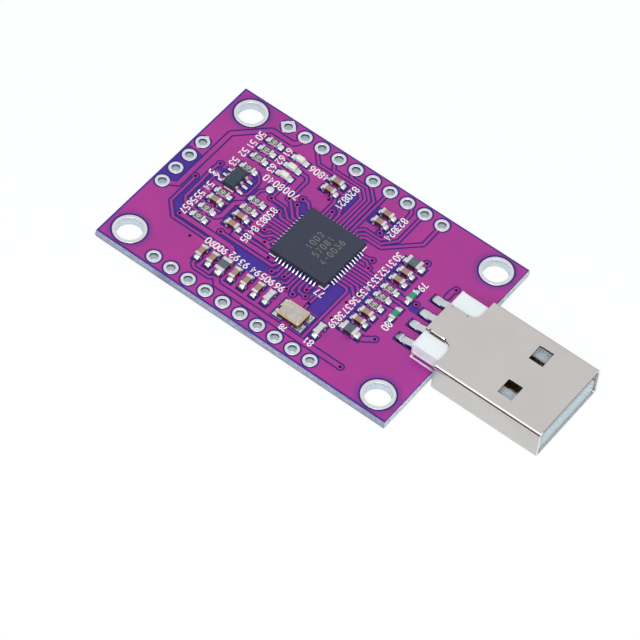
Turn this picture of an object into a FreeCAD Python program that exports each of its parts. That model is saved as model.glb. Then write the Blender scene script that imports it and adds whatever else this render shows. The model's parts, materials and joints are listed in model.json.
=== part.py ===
# USB to serial adapter module: a small bare circuit board with a USB-A plug at one end.
# Millimetres. X runs along the board towards the plug's mouth, Y across it, Z up.
# The origin is the middle of the four mounting holes on the board's underside.
import FreeCAD, Part
import math
import os
from dataclasses import dataclass

Vec = FreeCAD.Vector

# Circuit board
BOARD_LENGTH = 42.1
BOARD_WIDTH = 28.1
BOARD_THICKNESS = 1.2
SCORE_DEPTH = 0.4
SCORE_RIDGE = 0.13

# Plated holes for loose pins, two long rows and a short column at the back edge
PIN_PITCH = 2.54
PINS_IN_COLUMN = 4
PIN_ROW_EDGE_DISTANCE = 1.35
PIN_ROW_BACK_MARGIN = 7.55
PIN_ROW_FRONT_MARGIN = 11.5
PIN_COLUMN_EDGE_DISTANCE = 1.25
PIN_COLUMN_CENTRE_Y = 0.41
PIN_HOLE_DIA = 1.05

# Mounting holes
MOUNT_EDGE_DISTANCE_X = 2.885
MOUNT_EDGE_DISTANCE_Y = 2.62
MOUNT_HOLE_DIA = 3.25
DRILL_OVERRUN = 1.0

# Copper and solder on the board
LAND_HEIGHT = 0.04

# USB-A plug, shell folded from one sheet
PLUG_WIDTH = 12.0
PLUG_HEIGHT = 4.5
PLUG_ABOVE_BOARD = 2.95
SHEET = 0.3
SHELL_BEND_RADIUS = 0.65
PLUG_EDGE_GAP = 0.6
SHELL_LENGTH = 14.8
WINDOW_LENGTH = 1.95
WINDOW_WIDTH = 2.3
WINDOW_SPACING = 6.06
WINDOW_FROM_MOUTH = 5.25
TAIL_LENGTH = 3.83
TAIL_WIDTH = 4.66
TAIL_CORNER_RADIUS = 1.0
UNDER_TAIL_LENGTH = 3.2
FLANGE_LENGTH = 2.0
FLANGE_DROP = 0.75
FLANGE_FROM_TAIL_END = 0.6
FLANGE_RELIEF = 0.16
FLANGE_BEND_MARGIN = 0.03
SEAM_GAP = 0.06
SEAM_KEY_LENGTH = 2.4
SEAM_KEY_DEPTH = 1.1
SEAM_KEY_FLARE = 0.35
SEAM_KEYS = 2

# Plug insulator
BLOCK_WIDTH = 9.8
BLOCK_BOARD_CLEARANCE = 0.08
INNER_BLOCK_LENGTH = 3.4
TONGUE_ABOVE_BOARD = 0.7
TONGUE_SIDE_CLEARANCE = 0.06
TONGUE_SETBACK = 0.3
TONGUE_CORNER_RADIUS = 0.5
GROOVE_EXTRA_WIDTH = 0.3
GROOVE_DEPTH = 0.35
UNDERCUT_HEIGHT = 0.9
UNDERCUT_DEPTH = 0.65
SIDE_RIM = 0.3
SIDE_PANEL_DEPTH = 0.08
FLANGE_SLOT_CLEARANCE = 0.12

# Plug contacts
CONTACT_THICKNESS = 0.25
CONTACT_WIDTH = 0.95
CONTACT_POWER_OFFSET = 3.5
CONTACT_DATA_OFFSET = 1.0
CONTACT_POWER_SETBACK = 1.4
CONTACT_DATA_SETBACK = 2.4
CONTACT_TIP_DROP = 0.3
LEG_LENGTH = 2.75
LEG_FOOT_LENGTH = 0.9
LEG_SHOULDER_LENGTH = 0.3
LEG_SOLDER_LENGTH = 3.1
LEG_SOLDER_WIDTH = 1.3
LEG_SOLDER_HEIGHT = 0.22
LEG_SOLDER_TOE_HEIGHT = 0.1
LEG_SOLDER_HEEL_LENGTH = 0.8
LEG_SOLDER_FLARE = 0.1

# Main chip, a flat square package with edge terminals
CHIP_CENTRE_X = 0.43
CHIP_CENTRE_Y = 0.40
CHIP_SIZE = 8.0
CHIP_HEIGHT = 0.85
CHIP_TERMINALS_PER_SIDE = 12
CHIP_TERMINAL_PITCH = 0.5
CHIP_TERMINAL_WIDTH = 0.27
CHIP_LAND_OUT = 0.58
CHIP_LAND_IN = 0.4
CHIP_WETTING_HEIGHT = 0.3
CHIP_WETTING_RUN = 0.4
CHIP_CENTRE_PAD = 5.6
DIMPLE_DIA = 0.5
DIMPLE_DEPTH = 0.06
DIMPLE_INSET = 1.32

# Memory chip, a small moulded package with six bent leads
MEMORY_FROM_LEFT_COLUMN = -0.12
MEMORY_CENTRE_Y = 2.05
MEMORY_WIDTH = 1.6
MEMORY_LENGTH = 2.9
MEMORY_HEIGHT = 1.0
MEMORY_DRAFT = 0.08
MEMORY_LEADS_PER_SIDE = 3
MEMORY_LEAD_PITCH = 0.95
MEMORY_LEAD_WIDTH = 0.4
MEMORY_LEAD_THICKNESS = 0.15
MEMORY_LEAD_SPAN = 2.9
MEMORY_LEAD_SHOULDER = 0.25
MEMORY_LAND_LENGTH = 0.8
MEMORY_LAND_SPAN = 3.7

# Crystal, a ceramic case with a metal lid on a gold ring
CRYSTAL_CENTRE_X = 4.05
CRYSTAL_FROM_NEAR_EDGE = 5.1
CRYSTAL_LENGTH = 3.2
CRYSTAL_WIDTH = 2.5
CRYSTAL_CASE_HEIGHT = 0.5
CRYSTAL_RING_HEIGHT = 0.1
CRYSTAL_RING_INSET = 0.04
CRYSTAL_LID_HEIGHT = 0.1
CRYSTAL_LID_INSET = 0.19
CRYSTAL_CORNER_NOTCH = 0.2
CRYSTAL_LAND_LENGTH = 1.4
CRYSTAL_LAND_WIDTH = 1.15
CRYSTAL_LAND_SPAN_X = 4.2
CRYSTAL_LAND_SPAN_Y = 2.8

# Round test pad
TEST_PAD_FROM_MIDDLE_COLUMN = -0.05
TEST_PAD_Y = 3.78
TEST_PAD_DIA = 1.0
TEST_PAD_SHOULDER_DIA = 0.66
TEST_PAD_SHOULDER = 0.11
TEST_PAD_TOP = 0.14

# Values worked out from the sizes above
BACK_X = -BOARD_LENGTH / 2
FRONT_X = BOARD_LENGTH / 2
NEAR_Y = -BOARD_WIDTH / 2
TOP_Z = BOARD_THICKNESS
PINS_PER_ROW = 1 + int((BOARD_LENGTH - PIN_ROW_BACK_MARGIN - PIN_ROW_FRONT_MARGIN) / PIN_PITCH)
SHELL_BACK_X = FRONT_X + PLUG_EDGE_GAP
CHIP_SEAT_Z = TOP_Z + LAND_HEIGHT
PLUG_TOP_Z = TOP_Z + PLUG_ABOVE_BOARD
PLUG_BOTTOM_Z = PLUG_TOP_Z - PLUG_HEIGHT
MOUTH_X = SHELL_BACK_X + SHELL_LENGTH
TAIL_END_X = SHELL_BACK_X - TAIL_LENGTH
BLOCK_BACK_X = TAIL_END_X
INNER_BACK_X = FRONT_X + SCORE_RIDGE + BLOCK_BOARD_CLEARANCE
INNER_FRONT_X = SHELL_BACK_X + INNER_BLOCK_LENGTH
TONGUE_TOP_Z = TOP_Z + TONGUE_ABOVE_BOARD
TONGUE_FRONT_X = MOUTH_X - TONGUE_SETBACK
INSULATOR_BOTTOM_Z = PLUG_BOTTOM_Z + SHEET
INSULATOR_TOP_Z = PLUG_TOP_Z - SHEET
INSULATOR_WIDTH = PLUG_WIDTH - 2 * SHEET - 2 * TONGUE_SIDE_CLEARANCE


@dataclass(frozen=True)
class ChipSize:
    """Sizes of a small two-ended part: body, end cap and soldering land."""
    length: float
    width: float
    height: float
    cap: float
    land_span: float
    land_width: float


RESISTOR = ChipSize(length=1.6, width=0.8, height=0.45, cap=0.3, land_span=2.57, land_width=0.86)
CAPACITOR = ChipSize(length=1.6, width=0.8, height=0.78, cap=0.35, land_span=2.57, land_width=0.86)
GREEN_CHIP = ChipSize(length=1.6, width=0.8, height=0.5, cap=0.35, land_span=2.57, land_width=0.72)
BEAD = ChipSize(length=2.0, width=1.25, height=0.85, cap=0.45, land_span=3.1, land_width=1.05)
LED = ChipSize(length=1.6, width=0.8, height=0.2, cap=0.3, land_span=2.5, land_width=0.86)

CAP_SKIN = 0.03
COAT_THICKNESS = 0.03
COAT_SIDE_MARGIN = 0.04
FILLET_HEIGHT_SHARE = 0.55
FILLET_RUN = 0.33
LENS_HEIGHT = 0.42
LENS_LENGTH = 1.15
LENS_TAPER = 0.08

# Places of the small parts: columns run along Y, the near row along X
COLUMN_PITCH = 1.53
LEFT_COLUMN_FROM_MIDDLE = 3.83
LEFT_TOP_RESISTORS_Y = 7.97
LEFT_LONE_RESISTOR_Y = 4.45
LEFT_LOW_START_Y = -0.37
MIDDLE_COLUMN_FROM_CHIP = 9.68
MIDDLE_RESISTORS_Y = 1.15
UPPER_PAIRS_FROM_CHIP = (-4.18, 3.24)
UPPER_PAIRS_Y = (9.52, 8.0)
NEAR_ROW_FROM_EDGE = 5.23
NEAR_CAPACITORS_X = (-9.55, -7.95, -4.62, -2.92, -1.22)
NEAR_PALE_CAPACITORS_X = (0.43, 7.7)
NEAR_BEAD_X = -6.3
RIGHT_COLUMN_FROM_FRONT = 10.65
RIGHT_BEADS_Y = (5.72, -6.58)
RIGHT_CAPACITORS_Y = (4.08, 2.65, -3.43, -4.88)
RIGHT_RESISTORS_Y = (1.13, -0.38, -1.87)
GREEN_CHIPS_FROM_FRONT = 8.08
GREEN_CHIPS_Y = (1.95, -1.33)


MIDDLE_COLUMN_X = CHIP_CENTRE_X - MIDDLE_COLUMN_FROM_CHIP
LEFT_COLUMN_X = MIDDLE_COLUMN_X - LEFT_COLUMN_FROM_MIDDLE
RIGHT_COLUMN_X = FRONT_X - RIGHT_COLUMN_FROM_FRONT
NEAR_ROW_Y = NEAR_Y + NEAR_ROW_FROM_EDGE
GREEN_CHIPS_X = FRONT_X - GREEN_CHIPS_FROM_FRONT
MEMORY_CENTRE_X = LEFT_COLUMN_X + MEMORY_FROM_LEFT_COLUMN
CRYSTAL_CENTRE_Y = NEAR_Y + CRYSTAL_FROM_NEAR_EDGE
TEST_PAD_X = MIDDLE_COLUMN_X + TEST_PAD_FROM_MIDDLE_COLUMN


def box(x0, x1, y0, y1, z0, z1):
    """A box given by its limits along the three axes."""
    return Part.makeBox(x1 - x0, y1 - y0, z1 - z0, Vec(x0, y0, z0))


def slab(length, width, z0, z1, x=0.0, y=0.0):
    """A box centred on x, y, between two heights."""
    return box(x - length / 2, x + length / 2, y - width / 2, y + width / 2, z0, z1)


def rectangle(length, width, z):
    """A centred rectangular wire at a height."""
    corners = [Vec(sx * length / 2, sy * width / 2, z) for sx, sy in ((-1, -1), (1, -1), (1, 1), (-1, 1))]
    return Part.makePolygon(corners + corners[:1])


def frustum(length0, width0, z0, length1, width1, z1):
    """A centred block whose plan changes from the lower size to the upper one."""
    return Part.makeLoft([rectangle(length0, width0, z0), rectangle(length1, width1, z1)], True, True)


def prism(points, direction):
    """A closed outline of 3-D points pushed along a direction."""
    return Part.Face(Part.makePolygon(points + points[:1])).extrude(direction)


def side_profile(points_xz, width):
    """An outline in X and Z, pushed to a width that is centred on Y = 0."""
    points = [Vec(x, -width / 2, z) for x, z in points_xz]
    return prism(points, Vec(0, width, 0))


def ribbon(points, thickness):
    """Outline of a strip of even thickness along a bent centre line, with mitred corners."""
    left = []
    right = []
    for i, (px, pz) in enumerate(points):
        before = points[max(i - 1, 0)]
        after = points[min(i + 1, len(points) - 1)]
        in_angle = math.atan2(pz - before[1], px - before[0]) if i > 0 else None
        out_angle = math.atan2(after[1] - pz, after[0] - px) if i < len(points) - 1 else in_angle
        in_angle = out_angle if in_angle is None else in_angle
        middle = (in_angle + out_angle) / 2
        reach = thickness / 2 / math.cos((out_angle - in_angle) / 2)
        left.append((px - reach * math.sin(middle), pz + reach * math.cos(middle)))
        right.append((px + reach * math.sin(middle), pz - reach * math.cos(middle)))
    return left + right[::-1]


def rounded_tube_section(width, height, radius, x):
    """A rounded rectangle in the YZ plane, centred on the plug's axis."""
    y = width / 2
    z0 = PLUG_BOTTOM_Z + (PLUG_HEIGHT - height) / 2
    z1 = z0 + height
    k = radius * (1 - math.sqrt(0.5))
    corners = ((y, z1, -1, -1), (-y, z1, 1, -1), (-y, z0, 1, 1), (y, z0, -1, 1))
    edges = []
    ends = []
    for i, (cy, cz, sy, sz) in enumerate(corners):
        on_z = Vec(x, cy, cz + sz * radius)
        on_y = Vec(x, cy + sy * radius, cz)
        mid = Vec(x, cy + sy * k, cz + sz * k)
        start, end = (on_z, on_y) if i % 2 == 0 else (on_y, on_z)
        edges.append(Part.Arc(start, mid, end).toShape())
        ends.append((start, end))
    for i in range(4):
        edges.append(Part.LineSegment(ends[i][1], ends[(i + 1) % 4][0]).toShape())
    return Part.Wire(Part.__sortEdges__(edges))


def moved(shape, x=0.0, y=0.0, z=0.0, turn=0.0):
    """A copy turned about Z by degrees, then moved."""
    copy = shape.copy()
    copy.rotate(Vec(0, 0, 0), Vec(0, 0, 1), turn)
    copy.translate(Vec(x, y, z))
    return copy


def pin_places():
    """Centres of all plated pin holes: two long rows and the short column."""
    row_y = BOARD_WIDTH / 2 - PIN_ROW_EDGE_DISTANCE
    first_x = BACK_X + PIN_ROW_BACK_MARGIN
    places = [(first_x + i * PIN_PITCH, side * row_y) for side in (-1, 1) for i in range(PINS_PER_ROW)]
    column_x = BACK_X + PIN_COLUMN_EDGE_DISTANCE
    first_y = PIN_COLUMN_CENTRE_Y - (PINS_IN_COLUMN - 1) * PIN_PITCH / 2
    places += [(column_x, first_y + j * PIN_PITCH) for j in range(PINS_IN_COLUMN)]
    return places


def mount_places():
    """Centres of the four mounting holes."""
    x = BOARD_LENGTH / 2 - MOUNT_EDGE_DISTANCE_X
    y = BOARD_WIDTH / 2 - MOUNT_EDGE_DISTANCE_Y
    return [(sx * x, sy * y) for sx in (-1, 1) for sy in (-1, 1)]


def circuit_board():
    """Laminate plate with the ridge that snapping a scored panel leaves on its edges."""
    ridge_length = BOARD_LENGTH + 2 * SCORE_RIDGE
    ridge_width = BOARD_WIDTH + 2 * SCORE_RIDGE
    low = frustum(BOARD_LENGTH, BOARD_WIDTH, 0, ridge_length, ridge_width, SCORE_DEPTH)
    web = slab(ridge_length, ridge_width, SCORE_DEPTH, TOP_Z - SCORE_DEPTH)
    high = frustum(ridge_length, ridge_width, TOP_Z - SCORE_DEPTH, BOARD_LENGTH, BOARD_WIDTH, TOP_Z)
    plate = low.fuse([web, high]).removeSplitter()
    drills = []
    depth = TOP_Z + 2 * DRILL_OVERRUN
    for places, dia in ((pin_places(), PIN_HOLE_DIA), (mount_places(), MOUNT_HOLE_DIA)):
        drills += [Part.makeCylinder(dia / 2, depth, Vec(x, y, -DRILL_OVERRUN)) for x, y in places]
    return plate.cut(Part.makeCompound(drills))


def tail_plate(length, z0):
    """Flat tail behind the shell, joined to it with round inner corners."""
    half = TAIL_WIDTH / 2
    r = TAIL_CORNER_RADIUS
    back = SHELL_BACK_X - length
    k = r * math.sqrt(0.5)
    front = SHELL_BACK_X + SHEET
    wide = half + r

    def corner(side):
        start = Vec(SHELL_BACK_X - r, side * half, z0)
        mid = Vec(SHELL_BACK_X - r + k, side * (half + r - k), z0)
        end = Vec(SHELL_BACK_X, side * wide, z0)
        return start, mid, end

    a0, a1, a2 = corner(-1)
    b0, b1, b2 = corner(1)
    outline = [
        Part.LineSegment(Vec(back, -half, z0), a0), Part.Arc(a0, a1, a2),
        Part.LineSegment(a2, Vec(front, -wide, z0)),
        Part.LineSegment(Vec(front, -wide, z0), Vec(front, wide, z0)),
        Part.LineSegment(Vec(front, wide, z0), b2), Part.Arc(b2, b1, b0),
        Part.LineSegment(b0, Vec(back, half, z0)),
        Part.LineSegment(Vec(back, half, z0), Vec(back, -half, z0)),
    ]
    wire = Part.Wire([piece.toShape() for piece in outline])
    return Part.Face(wire).extrude(Vec(0, 0, SHEET))


def flange_limits():
    """Start and end along X of the two flanges bent down from the upper tail."""
    start = TAIL_END_X + FLANGE_FROM_TAIL_END
    return start, start + FLANGE_LENGTH


def flange(side):
    """One short flange, bent down from the tail's edge with a round outer bend."""
    x0, x1 = flange_limits()
    outer = side * TAIL_WIDTH / 2
    inner = outer - side * SHEET
    strip = box(x0, x1, min(outer, inner), max(outer, inner), PLUG_TOP_Z - FLANGE_DROP, PLUG_TOP_Z)
    bend = [e for e in strip.Edges if is_bend_edge(e, outer)]
    return strip.makeFillet(SHEET - FLANGE_BEND_MARGIN, bend)


def is_bend_edge(edge, y):
    """True for the long edge at the top of the plug, at the given Y."""
    middle = edge.BoundBox.Center
    runs_along = edge.BoundBox.XLength > edge.BoundBox.YLength + edge.BoundBox.ZLength
    return runs_along and abs(middle.y - y) < SHEET / 10 and abs(middle.z - PLUG_TOP_Z) < SHEET / 10


def flange_cuts(side):
    """What leaves the tail for one flange: its square corner and the slits at both ends."""
    x0, x1 = flange_limits()
    outer = side * TAIL_WIDTH / 2
    low = min(outer, outer - side * SHEET)
    high = max(outer, outer - side * SHEET)
    z0 = PLUG_TOP_Z - SHEET
    return box(x0 - FLANGE_RELIEF, x1 + FLANGE_RELIEF, low, high, z0, PLUG_TOP_Z)


def window_cuts():
    """The latching windows, two in the upper and two in the lower wall."""
    x1 = MOUTH_X - WINDOW_FROM_MOUTH
    x0 = x1 - WINDOW_LENGTH
    cuts = []
    for side in (-1, 1):
        y = side * WINDOW_SPACING / 2
        for z0 in (PLUG_BOTTOM_Z, PLUG_TOP_Z - SHEET):
            cuts.append(box(x0, x1, y - WINDOW_WIDTH / 2, y + WINDOW_WIDTH / 2, z0, z0 + SHEET))
    return cuts


def seam_cut():
    """The joint of the folded sheet under the plug: a slit with dovetail keys."""
    path = [(SHELL_BACK_X - UNDER_TAIL_LENGTH, 0.0)]
    free = SHELL_LENGTH - SEAM_KEYS * SEAM_KEY_LENGTH
    step = free / (SEAM_KEYS + 1)
    x = SHELL_BACK_X
    for i in range(SEAM_KEYS):
        x += step
        side = 1 if i % 2 == 0 else -1
        tip = side * SEAM_KEY_DEPTH
        path += [
            (x, 0.0), (x - SEAM_KEY_FLARE, tip),
            (x + SEAM_KEY_LENGTH + SEAM_KEY_FLARE, tip), (x + SEAM_KEY_LENGTH, 0.0),
        ]
        x += SEAM_KEY_LENGTH
    path.append((MOUTH_X + SHEET, 0.0))
    outline = ribbon(path, SEAM_GAP)
    points = [Vec(px, py, PLUG_BOTTOM_Z) for px, py in outline]
    return prism(points, Vec(0, 0, SHEET))


def usb_shell():
    """Folded sheet shell: tube, windows, seam, upper tail with flanges and under tail."""
    outer_wire = rounded_tube_section(PLUG_WIDTH, PLUG_HEIGHT, SHELL_BEND_RADIUS, SHELL_BACK_X)
    inner_wire = rounded_tube_section(PLUG_WIDTH - 2 * SHEET, PLUG_HEIGHT - 2 * SHEET,
                                      SHELL_BEND_RADIUS - SHEET, SHELL_BACK_X)
    outer = Part.Face(outer_wire).extrude(Vec(SHELL_LENGTH, 0, 0))
    inner = Part.Face(inner_wire).extrude(Vec(SHELL_LENGTH, 0, 0))
    tube = outer.cut(inner)
    upper = tail_plate(TAIL_LENGTH, PLUG_TOP_Z - SHEET)
    upper = upper.cut(flange_cuts(-1)).cut(flange_cuts(1))
    under = tail_plate(UNDER_TAIL_LENGTH, PLUG_BOTTOM_Z)
    shell = tube.fuse([upper, under, flange(-1), flange(1)])
    shell = shell.cut(window_cuts())
    return shell.cut(seam_cut()).removeSplitter()


def leg_foot_end():
    """X where a contact's foot leaves its land and the leg starts to climb."""
    return BLOCK_BACK_X - LEG_LENGTH + LEG_FOOT_LENGTH


def contact_path(tip_x):
    """Centre line of a contact: foot on the board, climb to the block, groove, tip."""
    foot_z = CHIP_SEAT_Z + CONTACT_THICKNESS / 2
    run_z = TONGUE_TOP_Z - GROOVE_DEPTH + CONTACT_THICKNESS / 2
    return [
        (BLOCK_BACK_X - LEG_LENGTH, foot_z), (leg_foot_end(), foot_z),
        (BLOCK_BACK_X - LEG_SHOULDER_LENGTH, run_z),
        (tip_x - CONTACT_TIP_DROP, run_z), (tip_x, run_z - CONTACT_TIP_DROP / 2),
    ]


def contact(offset, setback):
    """One contact strip, bent in side view."""
    outline = ribbon(contact_path(MOUTH_X - setback), CONTACT_THICKNESS)
    return moved(side_profile(outline, CONTACT_WIDTH), 0, offset)


def contacts(offset, setback):
    """The pair of like contacts at both sides of the plug's axis."""
    return [contact(side * offset, setback) for side in (-1, 1)]


def contact_offsets():
    """Y of all four contacts."""
    return (-CONTACT_POWER_OFFSET, -CONTACT_DATA_OFFSET, CONTACT_DATA_OFFSET, CONTACT_POWER_OFFSET)


def insulator_body():
    """Outer form of the insulator: block on the board, block inside the shell and tongue."""
    inner_length = TONGUE_FRONT_X - INNER_BACK_X
    section = rounded_tube_section(INSULATOR_WIDTH, INSULATOR_TOP_Z - INSULATOR_BOTTOM_Z,
                                   TONGUE_CORNER_RADIUS, INNER_BACK_X)
    inside = Part.Face(section).extrude(Vec(inner_length, 0, 0))
    mouth_space = box(INNER_FRONT_X, MOUTH_X, -PLUG_WIDTH, PLUG_WIDTH, TONGUE_TOP_Z, PLUG_TOP_Z)
    # between the board's edge and the shell the block is as narrow as behind it
    shoulder = BLOCK_WIDTH / 2
    trims = [
        box(INNER_BACK_X, SHELL_BACK_X, shoulder, PLUG_WIDTH, PLUG_BOTTOM_Z, PLUG_TOP_Z),
        box(INNER_BACK_X, SHELL_BACK_X, -PLUG_WIDTH, -shoulder, PLUG_BOTTOM_Z, PLUG_TOP_Z),
    ]
    seat = slab(INNER_BACK_X - BLOCK_BACK_X, BLOCK_WIDTH, TOP_Z, INSULATOR_TOP_Z,
                (INNER_BACK_X + BLOCK_BACK_X) / 2)
    return inside.cut([mouth_space] + trims).fuse(seat).removeSplitter()


def side_box(x0, x1, side, outer, inner, z0, z1):
    """A box at one side of the plug, between two distances from its axis."""
    near, far = sorted((side * outer, side * inner))
    return box(x0, x1, near, far, z0, z1)


def insulator_recesses(side):
    """Undercut over the board, sunk side panel and the pocket for the shell's flange, at one side."""
    edge = BLOCK_WIDTH / 2
    rim_z = TOP_Z + UNDERCUT_HEIGHT
    x0, x1 = flange_limits()
    gap = FLANGE_SLOT_CLEARANCE
    undercut = side_box(BLOCK_BACK_X - DRILL_OVERRUN, INNER_BACK_X, side, PLUG_WIDTH, edge - UNDERCUT_DEPTH,
                        TOP_Z, rim_z)
    panel = side_box(BLOCK_BACK_X + SIDE_RIM, SHELL_BACK_X, side, edge, edge - SIDE_PANEL_DEPTH,
                     rim_z + SIDE_RIM, PLUG_TOP_Z)
    pocket = side_box(x0 - gap, x1 + gap, side, TAIL_WIDTH / 2 + gap, TAIL_WIDTH / 2 - SHEET - gap,
                      PLUG_TOP_Z - FLANGE_DROP - gap, PLUG_TOP_Z)
    return [undercut, panel, pocket]


def contact_grooves():
    """Open grooves along the tongue, a little wider than the contacts in them."""
    width = CONTACT_WIDTH + GROOVE_EXTRA_WIDTH
    cuts = []
    for y in contact_offsets():
        cuts.append(box(INNER_FRONT_X, MOUTH_X - CONTACT_POWER_SETBACK + CONTACT_TIP_DROP,
                        y - width / 2, y + width / 2, TONGUE_TOP_Z - GROOVE_DEPTH, TONGUE_TOP_Z))
    return cuts


def usb_insulator(contact_solids):
    """Moulded insulator, with recesses, grooves and the ways that the contacts fill."""
    recesses = insulator_recesses(-1) + insulator_recesses(1)
    return insulator_body().cut(recesses + contact_grooves()).cut(contact_solids)


def leg_solder(contact_solids):
    """Solder on each contact's land: a mound round the foot, thin under the climbing leg."""
    toe = BLOCK_BACK_X - LEG_SOLDER_LENGTH
    heel = leg_foot_end() + LEG_SOLDER_HEEL_LENGTH
    top_z = TOP_Z + LEG_SOLDER_HEIGHT
    outline = [
        (toe, TOP_Z), (toe + LEG_SOLDER_FLARE, TOP_Z + LEG_SOLDER_TOE_HEIGHT), (leg_foot_end(), top_z),
        (heel, CHIP_SEAT_Z), (BLOCK_BACK_X, CHIP_SEAT_Z), (BLOCK_BACK_X, TOP_Z),
    ]
    low = LEG_SOLDER_WIDTH / 2
    high = low - LEG_SOLDER_FLARE
    section = [Vec(toe, y, z) for y, z in ((-low, TOP_Z), (low, TOP_Z), (high, top_z), (-high, top_z))]
    mound = side_profile(outline, LEG_SOLDER_WIDTH).common(prism(section, Vec(LEG_SOLDER_LENGTH, 0, 0)))
    return [moved(mound, 0, y).cut(contact_solids) for y in contact_offsets()]


def shell_solder():
    """Solder film between the shell's under tail and the board."""
    x0 = SHELL_BACK_X - UNDER_TAIL_LENGTH
    return box(x0, FRONT_X - SCORE_DEPTH, -TAIL_WIDTH / 2, TAIL_WIDTH / 2, INSULATOR_BOTTOM_Z, 0)


def main_chip():
    """Flat square package with the dimple that marks its first terminal."""
    body = slab(CHIP_SIZE, CHIP_SIZE, CHIP_SEAT_Z, CHIP_SEAT_Z + CHIP_HEIGHT, CHIP_CENTRE_X, CHIP_CENTRE_Y)
    inset = CHIP_SIZE / 2 - DIMPLE_INSET
    centre = Vec(CHIP_CENTRE_X + inset, CHIP_CENTRE_Y - inset, CHIP_SEAT_Z + CHIP_HEIGHT - DIMPLE_DEPTH)
    return body.cut(Part.makeCylinder(DIMPLE_DIA / 2, 2 * DIMPLE_DEPTH, centre))


def edge_joint(edge, inside, outside, seat, wet, run, width):
    """Land and solder at a part's edge, side view along +X from the part's middle.

    The solder lies under the part from `inside` to `edge`, and climbs the edge to `wet`.
    """
    outline = [
        (inside, 0), (outside, 0), (outside, seat), (edge + run / 2, seat + (wet - seat) / 3),
        (edge, wet), (edge, seat), (inside, seat),
    ]
    return side_profile([(x, TOP_Z + z) for x, z in outline], width)


def main_chip_terminals():
    """Soldered edge terminals on the four sides, and the pad under the middle."""
    half = CHIP_SIZE / 2
    joint = edge_joint(half, half - CHIP_LAND_IN, half + CHIP_LAND_OUT, LAND_HEIGHT,
                       CHIP_WETTING_HEIGHT, CHIP_WETTING_RUN, CHIP_TERMINAL_WIDTH)
    solids = [slab(CHIP_CENTRE_PAD, CHIP_CENTRE_PAD, TOP_Z, CHIP_SEAT_Z, CHIP_CENTRE_X, CHIP_CENTRE_Y)]
    for quarter in range(4):
        for i in range(CHIP_TERMINALS_PER_SIDE):
            along = (i - (CHIP_TERMINALS_PER_SIDE - 1) / 2) * CHIP_TERMINAL_PITCH
            one = moved(moved(joint, 0, along), turn=90 * quarter)
            solids.append(moved(one, CHIP_CENTRE_X, CHIP_CENTRE_Y))
    return solids


def memory_chip():
    """Moulded package, widest at the parting line."""
    wide = (MEMORY_WIDTH, MEMORY_LENGTH)
    slim = (MEMORY_WIDTH - 2 * MEMORY_DRAFT, MEMORY_LENGTH - 2 * MEMORY_DRAFT)
    z0 = CHIP_SEAT_Z + LAND_HEIGHT
    z1 = z0 + MEMORY_HEIGHT
    middle = (z0 + z1) / 2
    low = frustum(*slim, z0, *wide, middle)
    high = frustum(*wide, middle, *slim, z1)
    return moved(low.fuse(high).removeSplitter(), MEMORY_CENTRE_X, MEMORY_CENTRE_Y)


def memory_lead_places():
    """Turn and offset of each of the six leads."""
    places = []
    for turn in (0, 180):
        for i in range(MEMORY_LEADS_PER_SIDE):
            places.append((turn, (i - (MEMORY_LEADS_PER_SIDE - 1) / 2) * MEMORY_LEAD_PITCH))
    return places


def at_memory_chip(shape, turn, along):
    """A shape modelled along +X from the memory chip's middle, put at one lead's place."""
    return moved(moved(shape, 0, along), MEMORY_CENTRE_X, MEMORY_CENTRE_Y, turn=turn)


def memory_leads(body):
    """Bent leads: out of the parting line, down and out again to a flat foot."""
    t = MEMORY_LEAD_THICKNESS
    exit_x = MEMORY_WIDTH / 2
    shoulder = exit_x + MEMORY_LEAD_SHOULDER
    toe = MEMORY_LEAD_SPAN / 2
    top = CHIP_SEAT_Z + LAND_HEIGHT + MEMORY_HEIGHT / 2
    foot = CHIP_SEAT_Z + t / 2
    path = [(exit_x - t, top), (shoulder - t / 2, top), (shoulder + t / 2, foot), (toe, foot)]
    lead = side_profile(ribbon(path, t), MEMORY_LEAD_WIDTH)
    return [at_memory_chip(lead, turn, along).cut(body) for turn, along in memory_lead_places()]


def memory_solder():
    """Land and solder under each of the six feet."""
    outer = MEMORY_LAND_SPAN / 2
    pad = box(outer - MEMORY_LAND_LENGTH, outer, -MEMORY_LEAD_WIDTH / 2, MEMORY_LEAD_WIDTH / 2,
              TOP_Z, CHIP_SEAT_Z)
    toe = MEMORY_LEAD_SPAN / 2
    t = MEMORY_LEAD_THICKNESS
    heel = [(toe, LAND_HEIGHT), (outer, LAND_HEIGHT), (toe, LAND_HEIGHT + t)]
    fillet = side_profile([(x, TOP_Z + z) for x, z in heel], MEMORY_LEAD_WIDTH)
    joint = pad.fuse(fillet).removeSplitter()
    return [at_memory_chip(joint, turn, along) for turn, along in memory_lead_places()]


def crystal_case():
    """Ceramic case with a quarter-round notch at each corner."""
    z0 = CHIP_SEAT_Z
    z1 = z0 + CRYSTAL_CASE_HEIGHT
    case = slab(CRYSTAL_LENGTH, CRYSTAL_WIDTH, z0, z1)
    notches = []
    for sx in (-1, 1):
        for sy in (-1, 1):
            corner = Vec(sx * CRYSTAL_LENGTH / 2, sy * CRYSTAL_WIDTH / 2, z0)
            notches.append(Part.makeCylinder(CRYSTAL_CORNER_NOTCH, CRYSTAL_CASE_HEIGHT, corner))
    return moved(case.cut(notches), CRYSTAL_CENTRE_X, CRYSTAL_CENTRE_Y)


def crystal_plate(inset, z0, height):
    """A plate on the crystal's case, smaller than it by an inset on each side."""
    plate = slab(CRYSTAL_LENGTH - 2 * inset, CRYSTAL_WIDTH - 2 * inset, z0, z0 + height)
    upright = [e for e in plate.Edges if e.BoundBox.ZLength > height / 2]
    return moved(plate.makeFillet(CRYSTAL_CORNER_NOTCH, upright), CRYSTAL_CENTRE_X, CRYSTAL_CENTRE_Y)


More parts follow.
